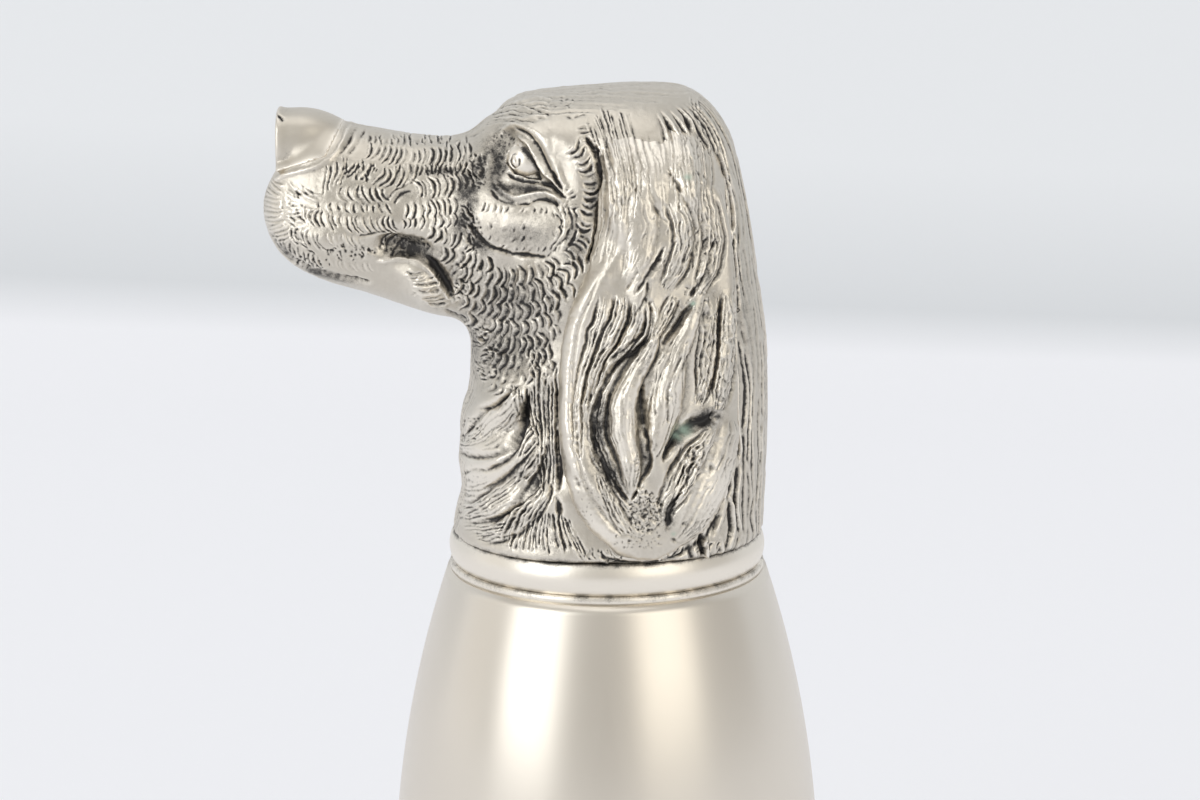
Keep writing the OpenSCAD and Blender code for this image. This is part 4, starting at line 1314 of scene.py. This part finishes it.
def plate_wear_group():
    """Tarnish and painted shade in the recesses, rubbed silver and painted highlights on the heights, and
    green bloom in the pits.
    """
    group, given, out = new_group(
        "Plate wear",
        {"Vector": "Vector", "Patina": "Float", "Rubbed": "Float", "Verdigris": "Float", "Silver": "Color",
         "Polish": "Color", "Tarnish": "Color", "Bloom": "Color", "Gloss": "Float"},
        {"Color": "Color", "Roughness": "Float", "Metallic": "Float", "Height": "Float"})
    broken, blotch, fleck = (noise(group, given["Vector"], *kind) for kind in (BROKEN, BLOTCH, FLECK))
    stain = given["Patina"]
    for value, amount in zip((broken, blotch, fleck), STAIN_BREAKS):
        stain = plus(group, stain, times(group, math_node(group, "SUBTRACT", value, 0.5), amount))
    ramp = node(group, "ShaderNodeMapRange", TARNISH_RANGE, interpolation_type="SMOOTHSTEP")
    group.links.new(stain, ramp.inputs["Value"])
    dark = ramp.outputs[0]
    bloom = times(group, given["Verdigris"], plus(group, broken, BLOOM_SPREAD), clamp=True)
    plate = mixed(group, times(group, given["Rubbed"], POLISH_SHARE), given["Silver"], given["Polish"])
    plate = mixed(group, dark, plate, given["Tarnish"])
    rough = given["Gloss"]
    for value, amount in zip((dark, given["Rubbed"], bloom, blotch), ROUGHER):
        rough = plus(group, rough, times(group, value, amount), clamp=True)
    group.links.new(mixed(group, bloom, plate, given["Bloom"]), out["Color"])
    group.links.new(rough, out["Roughness"])
    group.links.new(math_node(group, "SUBTRACT", 1.0, bloom, clamp=True), out["Metallic"])
    group.links.new(plus(group, times(group, fleck, FLECK_HEIGHT), broken), out["Height"])


def satin_grain_group():
    """Fine blasted grain with faint clouds."""
    group, given, out = new_group(
        "Satin grain", {"Vector": "Vector", "Silver": "Color", "Gloss": "Float"},
        {"Color": "Color", "Roughness": "Float", "Height": "Float"})
    grain, cloud = (noise(group, given["Vector"], *kind) for kind in (SATIN_GRAIN, CLOUD))
    shade = mixed(group, times(group, cloud, CLOUD_SHADE), given["Silver"], SATIN_CLOUD)
    group.links.new(shade, out["Color"])
    group.links.new(plus(group, given["Gloss"], times(group, cloud, CLOUD_ROUGH)), out["Roughness"])
    group.links.new(grain, out["Height"])


def start_material(name):
    """A new material with an empty tree, and its output's surface."""
    made = bpy.data.materials.new(name)
    made.use_nodes = True
    made.node_tree.nodes.clear()
    return made.node_tree, node(made.node_tree, "ShaderNodeOutputMaterial").inputs["Surface"], made


def plated(name, group_name, values, strength, distance):
    """A metal that looks as one of the groups says, with the tree and the group's node."""
    tree, surface, _ = start_material(name)
    shader = node(tree, "ShaderNodeBsdfPrincipled", {"Metallic": 1.0})
    tree.links.new(shader.outputs[0], surface)
    skin = node(tree, "ShaderNodeGroup", values, node_tree=bpy.data.node_groups[group_name])
    tree.links.new(node(tree, "ShaderNodeTexCoord").outputs["Object"], skin.inputs["Vector"])
    for label, socket in (("Color", "Base Color"), ("Roughness", "Roughness"), ("Metallic", "Metallic")):
        if label in skin.outputs:
            tree.links.new(skin.outputs[label], shader.inputs[socket])
    bump = node(tree, "ShaderNodeBump", {"Strength": strength, "Distance": distance})
    tree.links.new(skin.outputs["Height"], bump.inputs["Height"])
    tree.links.new(bump.outputs[0], shader.inputs["Normal"])
    return tree, skin


def antique_material(name, look, colour, rougher, bump):
    """Rubbed and oxidised plate that reads the stains, painted shade and painted highlights of a chased
    piece.
    """
    values = {"Silver": (*getattr(look, colour), 1), "Polish": (*look.polish, 1),
              "Tarnish": (*look.tarnish, 1), "Bloom": (*look.verdigris, 1),
              "Gloss": look.rubbed_gloss + rougher}
    tree, wear = plated(name, "Plate wear", values, bump, CAST_BUMP)
    for label in ("Patina", "Rubbed", "Verdigris"):
        read = node(tree, "ShaderNodeAttribute", attribute_name=label.lower())
        tree.links.new(read.outputs["Fac"], wear.inputs[label])


def material(name):
    """A finish by its name."""
    return bpy.data.materials[name]


# Operators, one for each group of pieces

class STIRRUP_OT_finishes(bpy.types.Operator):
    """Mix the plated finishes"""

    bl_idname = "stirrup.finishes"
    bl_label = "Mix finishes"

    def execute(self, context):
        look = context.scene.stirrup_plate
        plate_wear_group()
        satin_grain_group()
        values = {"Silver": (*look.satin, 1), "Gloss": look.satin_gloss}
        plated("Satin silver", "Satin grain", values, *SATIN_BUMP)
        for name, values in FINISHES.items():
            antique_material(name, look, *values)
        return {"FINISHED"}


class STIRRUP_OT_cup(bpy.types.Operator):
    """Spin the cup and the wire round its lip"""

    bl_idname = "stirrup.cup"
    bl_label = "Spin cup"

    def execute(self, context):
        look = context.scene.stirrup_turned
        low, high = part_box("cup_shell")
        r, top = high.x, high.z
        drop, rise = r - look.shoulder / 2, top - look.skirt
        arc_r = (rise ** 2 + drop ** 2) / (2 * drop)
        sweep = math.degrees(math.asin(rise / arc_r))
        inner_top = math.degrees(math.asin((rise - look.wall) / (arc_r - look.wall)))
        outside = [(r, low.z)] + arc(r - arc_r, look.skirt, arc_r, 0, sweep, ARC_POINTS)
        inside = arc(r - arc_r, look.skirt, arc_r - look.wall, inner_top, 0, ARC_POINTS)
        profile = outside + [(0.0, top), (0.0, top - look.wall)] + inside + [(r - look.wall, low.z)]
        cup = spun(profile, look.steps, "spun_cup")
        piece("spun_cup", cup, material("Satin silver"), nodes=("cup_shell",))
        low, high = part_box("rim_wire")
        half = (high.z - low.z) / 2
        wire = spun(arc(r, half, half, -90, 90, WIRE_POINTS), look.steps, "lip_wire")
        piece("lip_wire", wire, material("Bright silver"), nodes=("rim_wire",))
        return {"FINISHED"}


class STIRRUP_OT_collar(bpy.types.Operator):
    """Turn the collar's band and the step below it"""

    bl_idname = "stirrup.collar"
    bl_label = "Turn collar"

    def execute(self, context):
        look = context.scene.stirrup_turned
        soft = look.soft_edge
        low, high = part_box("collar_band")
        inner = look.spigot + look.solder_gap
        edge = high.x - look.band_swell
        tall = high.z - low.z
        swell_r = ((tall / 2) ** 2 + look.band_swell ** 2) / (2 * look.band_swell)
        sweep = math.degrees(math.asin((tall / 2 - soft) / swell_r))
        face = arc(high.x - swell_r, (low.z + high.z) / 2, swell_r, -sweep, sweep, ARC_POINTS)
        profile = [(inner, low.z), (edge - soft, low.z), *face, (edge - soft, high.z), (inner, high.z)]
        band = spun(profile, look.steps, "turned_band")
        soil(band, high.z, *BAND_DIRT)
        piece("turned_band", band, material("Bright silver"), nodes=("collar_band",))
        step_low, step_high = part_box("collar_step")
        hole, lip = look.spigot - look.spigot_wall, step_high.x
        profile = [(hole, step_low.z), (lip - soft, step_low.z), (lip, step_low.z + soft),
                   (lip, low.z - soft), (lip - soft, low.z), (look.spigot, low.z),
                   (look.spigot, step_high.z), (hole, step_high.z)]
        step = spun(profile, look.steps, "turned_step")
        soil(step, low.z, *STEP_DIRT)
        piece("turned_step", step, material("Bright silver"), nodes=("collar_step",))
        return {"FINISHED"}


def soil(mesh, height, spread, strength):
    """Dirt left in patches along a ring of a turned piece."""
    x, y, z = read_vectors(mesh.vertices, "co").T
    patchy = layered(PATCH_MEAN, np.arctan2(y, x) * PIXELS_ROUND, z / PIXEL, COLLAR_PATCHES)
    store(mesh, "patina", np.clip(strength * patchy, 0, 1) * np.exp(-((z - height) / spread) ** 2))


class STIRRUP_OT_head(bpy.types.Operator):
    """Chase the two halves of the cast head and the polished nose"""

    bl_idname = "stirrup.head"
    bl_label = "Chase head"

    def execute(self, context):
        look = context.scene.stirrup_sculpt
        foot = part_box("head_left")[0].z
        bm = head_skin(look.voxel, look.smooth_passes)
        cut(bm, (0, 0, 0), (0, 1, 0))
        half = modified(as_mesh(bm, "half"), split(look.subdivisions))
        chase_head(half, context.scene)
        keep_in_box(half, foot, 0.0)
        left = capped(thinned(half, look.triangle_limit), "cast_head_left")
        both_sides(left, "Antique silver", "head")
        nose = polished_nose(context.scene)
        piece("polished_nose", nose, material("Smooth silver"), nodes=("nose_plug",))
        return {"FINISHED"}


def head_skin(voxel, passes):
    """The outer skin of the head, its nose and its eyes in one, with the frame's facets melted."""
    bm = merged_copy("head_left", "head_right", "nose_plug", "eye_left", "eye_right")
    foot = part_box("head_left")[0].z
    radius = bpy.context.scene.stirrup_turned.spigot + PLUG_LAP
    plug = bmesh.ops.create_cone(bm, cap_ends=True, segments=PLUG_FACETS, radius1=radius, radius2=radius,
                                 depth=PLUG)
    bmesh.ops.translate(bm, vec=(0, 0, foot + PLUG / 2), verts=plug["verts"])
    mesh = melted(bm, "head", voxel, passes)
    trim_profile(mesh)
    bm = bmesh.new()
    bm.from_mesh(mesh)
    top = max(bm.verts, key=lambda vert: vert.co.z)
    outer, front = {top}, [top]
    while front:
        vert = front.pop()
        for edge in vert.link_edges:
            other = edge.other_vert(vert)
            if other not in outer:
                outer.add(other)
                front.append(other)
    bmesh.ops.delete(bm, geom=[vert for vert in bm.verts if vert not in outer], context="VERTS")
    return bm


def trim_profile(mesh):
    """Rounds the corner of jaw and throat, and keeps nose and lip behind their edge in the photograph."""
    look = bpy.context.scene.stirrup_stage
    skin = Casting(mesh, 1)
    x, y, _ = photo_places(skin.points, look)
    weight = np.exp(-((x - THROAT[0]) / THROAT_REACH) ** 2 - ((y - THROAT[1]) / THROAT_REACH) ** 2)
    moved = skin.points + (skin.blurred(skin.points, THROAT_MELT) - skin.points) * weight[:, None]
    edge_x, edge_y = np.array(FRONT_EDGE).T
    moved[:, 0] += np.maximum(np.interp(y, edge_y, edge_x) - x, 0.0) * (y < edge_y[-1]) * PIXEL
    move_to(mesh, moved)


def nose_planes(look):
    """The two planes that part the nose from the muzzle, each a point and a normal towards the muzzle."""
    corners = [shown_at(pixel, look, NOSE_SIDE) for pixel in NOSE_CORNERS]
    planes = []
    for a, b in zip(corners, corners[1:]):
        normal = np.cross(b - a, (0.0, 1.0, 0.0))
        planes.append((a, normal / np.linalg.norm(normal)))
    return planes


def polished_nose(scene):
    """The nose, cut from a finer skin of the head a little proud of the muzzle."""
    sculpt = scene.stirrup_sculpt
    mesh = as_mesh(head_skin(sculpt.nose_voxel, sculpt.nose_passes), "nose")
    skin = Casting(mesh, sculpt.depth)
    low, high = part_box("nose_plug")
    behind = skin.points[:, 0] - low.x
    melt = skin.blurred(skin.points, NOSE_MELT) - skin.points
    moved = skin.points + melt * soft_step(*NOSE_KEEN, behind)[:, None]
    behind = moved[:, 0] - low.x
    moved[:, 0] = low.x + behind * soft_step(*NOSE_FLAT, behind)
    behind = moved[:, 0] - low.x
    above = np.maximum(moved[:, 2] - (low.z + high.z) / 2, 0.0)
    moved[:, 2] += NOSE_FLARE[0] * above * np.exp(-(behind / NOSE_FLARE_REACH[0]) ** 2)
    moved[:, 1] *= 1 + NOSE_FLARE[1] * np.exp(-(behind / NOSE_FLARE_REACH[1]) ** 2)
    move_to(mesh, moved)
    bm = bmesh.new()
    bm.from_mesh(mesh)
    for place, normal in nose_planes(scene.stirrup_stage):
        cut(bm, place, normal)
        bmesh.ops.holes_fill(bm, edges=[edge for edge in bm.edges if edge.is_boundary], sides=0)
    bmesh.ops.recalc_face_normals(bm, faces=bm.faces)
    mesh = modified(as_mesh(bm, "polished_nose"), split(1))
    skin = Casting(mesh, sculpt.depth)
    skin.rise += NOSE_PROUD
    skin.draw_on_photo(scene.stirrup_stage)
    skin.chase_all(NOSE_NICK)
    y, z = skin.points[:, 1], skin.points[:, 2]
    front = soft_step(*NOSE_FRONT, -skin.normals[:, 0])
    skin.draw_on(-np.abs(y) / PIXEL, ((low.z + high.z) / 2 - z) / PIXEL, front)
    skin.chase_all(NOSTRIL_LINES)
    skin.press()
    keep_in_box(mesh, foot=0.0, seam=1.0)
    shade_smooth(mesh)
    return mesh


def keep_in_box(mesh, foot, seam):
    """Keeps a chased piece short of a seam, above a height and inside the frame's box."""
    points = read_vectors(mesh.vertices, "co")
    points = np.clip(points, np.array(CAD_BOX[0]), np.array(CAD_BOX[1]))
    points[:, 1] = np.minimum(points[:, 1], seam)
    points[:, 2] = np.maximum(points[:, 2], foot)
    move_to(mesh, points)


def capped(mesh, name):
    """A half closed along its seam by flat faces with sharp edges."""
    shade_smooth(mesh)
    bm = bmesh.new()
    bm.from_mesh(mesh)
    seam = [edge for edge in bm.edges if edge.is_boundary]
    for edge in seam:
        edge.smooth = False
        for vert in edge.verts:
            vert.co.y = 0.0
    cap = bmesh.ops.holes_fill(bm, edges=seam, sides=0)["faces"]
    for face in cap:
        face.smooth = False
    bmesh.ops.triangulate(bm, faces=cap)
    return as_mesh(bm, name)


def chase_head(mesh, scene):
    """Every stroke on one half of the head."""
    skin = Casting(mesh, scene.stirrup_sculpt.depth)
    skin.draw_on_photo(scene.stirrup_stage)
    for pad in FACE_PADS + NECK_PADS:
        skin.swell(*pad)
    skin.each(skin.lay_lock, NECK_LOCKS, SEED["neck locks"])
    skin.each(skin.punch_row, MUZZLE_ROWS + BAG_ROWS, SEED["rows"])
    skin.each(skin.punch_row, CHEEK_ROWS + TEMPLE_ROWS, SEED["scales"], SCALE_THICK)
    skin.each(skin.draw_fan, CROWN_FANS + FACE_FANS + NECK_FANS, SEED["fans"])
    skin.each(skin.strew, FACE_DASHES, SEED["dashes"])
    skin.each(skin.pit_patch, FACE_PITS, SEED["pits"])
    skin.chase_all(EYE_LINES + MOUTH_LINES + NOSE_LINES + NECK_LINES)
    skin.weather_and_paint_light(FACE_TARNISH_AND_PAINTED_SHADE + NECK_TARNISH_AND_PAINTED_SHADE, HEAD_POLISH_AND_HIGHLIGHT)
    skin.dip(EYE_BALL, EYE_BALL_DIP, EYE_BALL_SOFT)
    sunk = np.full(len(skin.points), 1.0)
    for place, normal in nose_planes(scene.stirrup_stage):
        sunk = np.minimum(sunk, -(skin.points - place) @ normal)
    skin.rise -= NOSE_SEAT * soft_step(0.0, NOSE_SEAT_EDGE, sunk)
    x, _, z = skin.points.T / PIXEL
    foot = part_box("head_left")[0].z / PIXEL
    tall, strength = FOOT_DIRT
    dirt = soft_step(foot + tall, foot, z) * layered(PATCH_MEAN, x, z, FOOT_PATCHES)
    skin.stain = np.maximum(skin.stain, strength * dirt)
    skin.roughen()
    comb_head(skin, scene.stirrup_stage)
    skin.press()


def comb_head(skin, look):
    """Hair where the photograph doesn't look: on the back, the crown, the chest and over the lip."""
    x, y, z = skin.points.T / PIXEL
    nx, _, nz = skin.normals.T
    hidden = 1.0 - skin.seen
    turn = np.arctan2(-y, x) * PIXELS_ROUND
    back = soft_step(*BACK_FACING, nx) * soft_step(*BACK_UPRIGHT, nz)
    back *= np.clip(layered(CLUMP_MEAN, turn, z / CLUMP_STRETCH, CLUMPS), *CLUMP_LIMITS)
    back *= SEAM_SHARE + (1 - SEAM_SHARE) * soft_step(*SEAM_SPAN, turn)
    comb(skin, turn, -z, back, *BACK_COMB)
    comb(skin, -y, x, soft_step(*TOP_FACING, nz) * hidden, *TOP_COMB)
    _, down, _ = photo_places(skin.points, look)
    front = soft_step(*FRONT_FACING, -nx) * hidden
    chest = soft_step(*CHEST_ROWS, down)
    comb(skin, -y + CHEST_SLANT * (down - THROAT[1]), down, front * chest, *CHEST_COMB)
    comb(skin, -y, down, front * LIP_SHARE * soft_step(*LIP_ROWS, down), *LIP_COMB)
    skin.reach = front * (1 - chest)
    skin.chase_all(FRONT_LINES)


def comb(skin, across, along, reach, span, seed, half, depth):
    """Wavy hair combed along a drawing from side to side of a span, straight beside the seam."""
    waver, size, waver_seed = COMB_WAVER
    waves = waver * drift(across, along, size, waver_seed) * soft_step(0, COMB_STRAIGHT, across)
    skin.draw_on(across + waves, along, reach)
    chance = np.random.default_rng(seed)
    first, last = along[reach > 0.01].min(), along[reach > 0.01].max()
    at, end = span
    while at < end:
        down = first - chance.uniform(0, 30)
        while down < last:
            length = chance.uniform(40, 130)
            sway = chance.uniform(-4, 4, 4) * min(at / 12, 1)
            hair = [(at + sway[k], down + length * k / 3, half * chance.uniform(0.7, 1.3)) for k in range(4)]
            strong = chance.uniform(0.4, 1.4)
            skin.chase(hair, depth * strong, stain=min(0.95, 2 * depth), lip=0.5, steps=3)
            down += length + chance.uniform(2, 14)
        at += half * chance.uniform(3.4, 6.0)


class STIRRUP_OT_ears(bpy.types.Operator):
    """Chase the two ears"""

    bl_idname = "stirrup.ears"
    bl_label = "Chase ears"

    def execute(self, context):
        look = context.scene.stirrup_sculpt
        base = melted(merged_copy("ear_left"), "ear", look.voxel, look.smooth_passes,
                      split(look.subdivisions))
        bend_root(base, context.scene.stirrup_stage)
        skin = Casting(base, look.depth)
        skin.draw_on_photo(context.scene.stirrup_stage)
        skin.each(skin.lay_lock, EAR_LOCKS, SEED["ear locks"])
        skin.each(skin.draw_fan, CROWN_FANS, SEED["fans"])
        skin.chase_all(EAR_LINES)
        skin.each(skin.strew, EAR_DASHES, SEED["ear dashes"])
        skin.each(skin.pit_patch, EAR_PITS, SEED["ear pits"])
        skin.weather_and_paint_light(EAR_TARNISH_AND_PAINTED_SHADE, EAR_POLISH_AND_HIGHLIGHT)
        skin.roughen()
        x, y, z = skin.points.T / PIXEL
        hidden = soft_step(*BACK_FACING, skin.normals[:, 0]) * (1.0 - skin.seen)
        comb(skin, np.arctan2(-y, x) * PIXELS_ROUND, -z, hidden, *EAR_COMB)
        skin.press(EAR_HOLLOW_TARNISH_AND_SHADE)
        keep_in_box(base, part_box("head_left")[0].z, 0.0)
        left = thinned(base, look.triangle_limit)
        left.name = "cast_ear_left"
        shade_smooth(left)
        both_sides(left, "Antique silver", "ear")
        return {"FINISHED"}


def bend_root(mesh, look):
    """Bends the top of the ear into the crown, so that no edge shows there."""
    points = read_vectors(mesh.vertices, "co")
    x, y, _ = photo_places(points, look)
    tufts = layered(1.0, x, y / ROOT_STRETCH, ROOT_TUFTS)
    points += (tufts * soft_step(EAR_ROOT[1], EAR_ROOT[0], y))[:, None] * np.array(EAR_SINK)
    move_to(mesh, points)


class STIRRUP_OT_eyes(bpy.types.Operator):
    """Chase the eyes and set them"""

    bl_idname = "stirrup.eyes"
    bl_label = "Set eyes"

    def execute(self, context):
        low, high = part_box("eye_left")
        bm = bmesh.new()
        around, down = EYE_FACETS
        bmesh.ops.create_uvsphere(bm, u_segments=around, v_segments=down, radius=(high.x - low.x) / 2)
        bmesh.ops.translate(bm, vec=(low + high) / 2, verts=bm.verts)
        left = as_mesh(bm, "eye_bead_left")
        skin = Casting(left, context.scene.stirrup_sculpt.depth)
        skin.draw_on_photo(context.scene.stirrup_stage)
        skin.chase_all(IRIS_LINES_AND_PAINTED_SHADE)
        skin.press()
        shade_smooth(left)
        both_sides(left, "Bright silver", "eye")
        return {"FINISHED"}


class STIRRUP_OT_stage(bpy.types.Operator):
    """Set the table, the backdrop, the lamps and the camera"""

    bl_idname = "stirrup.stage"
    bl_label = "Set stage"

    def execute(self, context):
        look = context.scene.stirrup_stage
        scene = context.scene
        scene.view_settings.view_transform = "Standard"
        make_camera(scene, look)
        make_backdrop(look)
        make_lamps(scene)
        return {"FINISHED"}


def aimed(place, aim):
    """The turn that points a lens or a lamp from its place to its aim."""
    return (Vector(aim) - Vector(place)).to_track_quat("-Z", "Y").to_euler()


def make_camera(scene, look):
    """The photographer's lens."""
    data = bpy.data.cameras.new("camera")
    data.lens = look.lens
    data.sensor_width = SENSOR_WIDE
    data.clip_start, data.clip_end = CLIP
    camera = placed("camera", data)
    camera.location = look.camera_place
    camera.rotation_euler = aimed(look.camera_place, look.camera_aim)
    scene.camera = camera


def make_backdrop(look):
    """A table that curves up into a wall."""
    depth = look.table_depth
    turns = [math.radians(angle) for angle in range(0, 91, BEND_STEP)]
    bend = [(depth - BEND + BEND * math.sin(turn), BEND - BEND * math.cos(turn)) for turn in turns]
    path = [(TABLE_FRONT, 0.0), *bend, (depth, WALL_TALL)]
    bm = bmesh.new()
    verts = [bm.verts.new((-TABLE_HALF, y, z)) for y, z in path]
    edges = [bm.edges.new(pair) for pair in zip(verts, verts[1:])]
    made = bmesh.ops.extrude_edge_only(bm, edges=edges)["geom"]
    far_side = [part for part in made if isinstance(part, bmesh.types.BMVert)]
    bmesh.ops.translate(bm, vec=(2 * TABLE_HALF, 0, 0), verts=far_side)
    bmesh.ops.recalc_face_normals(bm, faces=bm.faces)
    if min(face.normal.z for face in bm.faces) < -0.5:
        bmesh.ops.reverse_faces(bm, faces=bm.faces)
    mesh = as_mesh(bm, "backdrop")
    shade_smooth(mesh)
    obj = placed("backdrop", mesh)
    mesh.materials.append(backdrop_material(look))


def backdrop_material(look):
    """Pale paper, shown near its own colour to the lens and in the metal, with the cup's shadow kept."""
    tree, surface, made = start_material("Pale paper")
    link = tree.links.new
    place = node(tree, "ShaderNodeSeparateXYZ")
    link(node(tree, "ShaderNodeTexCoord").outputs["Object"], place.inputs[0])
    way = plus(tree, place.outputs["Y"], place.outputs["Z"])
    way = plus(tree, way, times(tree, place.outputs["X"], TABLE_SLANT))
    ramp = node(tree, "ShaderNodeValToRGB")
    link(way, ramp.inputs["Fac"])
    colours = (look.table, look.table, look.horizon, look.backdrop, look.backdrop)
    elements = ramp.color_ramp.elements
    while len(elements) < len(colours):
        elements.new(0.5)
    for element, at, colour in zip(elements, (0.0, *BAND_STOPS, 1.0), colours):
        element.position = at
        element.color = (*colour, 1)
    paper = node(tree, "ShaderNodeBsdfDiffuse")
    glow = node(tree, "ShaderNodeEmission")
    for shader in (paper, glow):
        link(ramp.outputs["Color"], shader.inputs["Color"])
    rays = node(tree, "ShaderNodeLightPath").outputs
    seen = math_node(tree, "MAXIMUM", rays["Is Camera Ray"], rays["Is Glossy Ray"])
    seen = math_node(tree, "MAXIMUM", seen, rays["Is Transmission Ray"])
    behind = node(tree, "ShaderNodeNewGeometry").outputs["Backfacing"]
    clear = node(tree, "ShaderNodeBsdfTransparent").outputs[0]
    front = shader_mix(tree, times(tree, seen, PAPER_GLOW), paper.outputs[0], glow.outputs[0])
    link(shader_mix(tree, times(tree, behind, rays["Is Camera Ray"]), front, clear), surface)
    return made


def shader_mix(tree, factor, first, second):
    """A mix of two shaders."""
    made = node(tree, "ShaderNodeMixShader")
    for socket, value in zip(made.inputs, (factor, first, second)):
        tree.links.new(value, socket)
    return made.outputs[0]


# Lamps: place, width, height, brightness of the pane and colour
LAMPS = {
    "window_left": ((-0.594, -0.535, 0.40), 0.56, 0.70, 1.7, (0.97, 0.99, 1.0)),
    "wall_left": ((-0.85, 0.06, 0.30), 0.5, 0.8, 0.30, (1.0, 0.985, 0.96)),
    "window_right": ((0.50, -0.62, 0.42), 0.60, 0.66, 1.05, (1.0, 0.96, 0.87)),
    "sky": ((-0.05, -0.05, 0.95), 0.8, 0.6, 0.75, (1.0, 1.0, 1.0)),
}


def make_lamps(scene):
    """The lamps, and the light of the room."""
    for name, (place, wide, tall, bright, colour) in LAMPS.items():
        data = bpy.data.lights.new(name, "AREA")
        data.shape = "RECTANGLE"
        data.size, data.size_y = wide, tall
        data.energy = bright * math.pi * wide * tall
        data.color = colour
        lamp = placed(name, data)
        lamp.location = place
        lamp.rotation_euler = aimed(place, LAMP_AIM)
    world = bpy.data.worlds.new("room")
    world.use_nodes = True
    room = world.node_tree.nodes["Background"].inputs
    room["Color"].default_value = ROOM_COLOUR
    room["Strength"].default_value = ROOM_STRENGTH
    scene.world = world


class STIRRUP_PT_panel(bpy.types.Panel):
    """Every step of the cup's looks"""

    bl_idname = "STIRRUP_PT_panel"
    bl_label = "Stirrup cup"
    bl_space_type = "VIEW_3D"
    bl_region_type = "UI"
    bl_category = "Stirrup cup"

    def draw(self, context):
        for name in STEPS:
            self.layout.operator("stirrup." + name)
        for group in GROUPS:
            self.layout.separator()
            settings = getattr(context.scene, group)
            for key in settings.bl_rna.properties.keys():
                if key not in ("rna_type", "name"):
                    self.layout.prop(settings, key)


STEPS = ("finishes", "stage", "cup", "collar", "head", "ears", "eyes")
GROUPS = {"stirrup_stage": StageLook, "stirrup_sculpt": SculptLook, "stirrup_turned": TurnedLook,
          "stirrup_plate": PlateLook}
CLASSES = (*GROUPS.values(), STIRRUP_OT_finishes, STIRRUP_OT_cup, STIRRUP_OT_collar, STIRRUP_OT_head,
           STIRRUP_OT_ears, STIRRUP_OT_eyes, STIRRUP_OT_stage, STIRRUP_PT_panel)


def register():
    """Adds the classes and the settings to Blender."""
    for cls in CLASSES:
        bpy.utils.register_class(cls)
    for name, group in GROUPS.items():
        setattr(bpy.types.Scene, name, PointerProperty(type=group))


def unregister():
    """Takes them away again."""
    for name in GROUPS:
        delattr(bpy.types.Scene, name)
    for cls in reversed(CLASSES):
        bpy.utils.unregister_class(cls)


def main():
    """Runs every step."""
    register()
    for name in STEPS:
        getattr(bpy.ops.stirrup, name)()


if __name__ == "__main__":
    main()
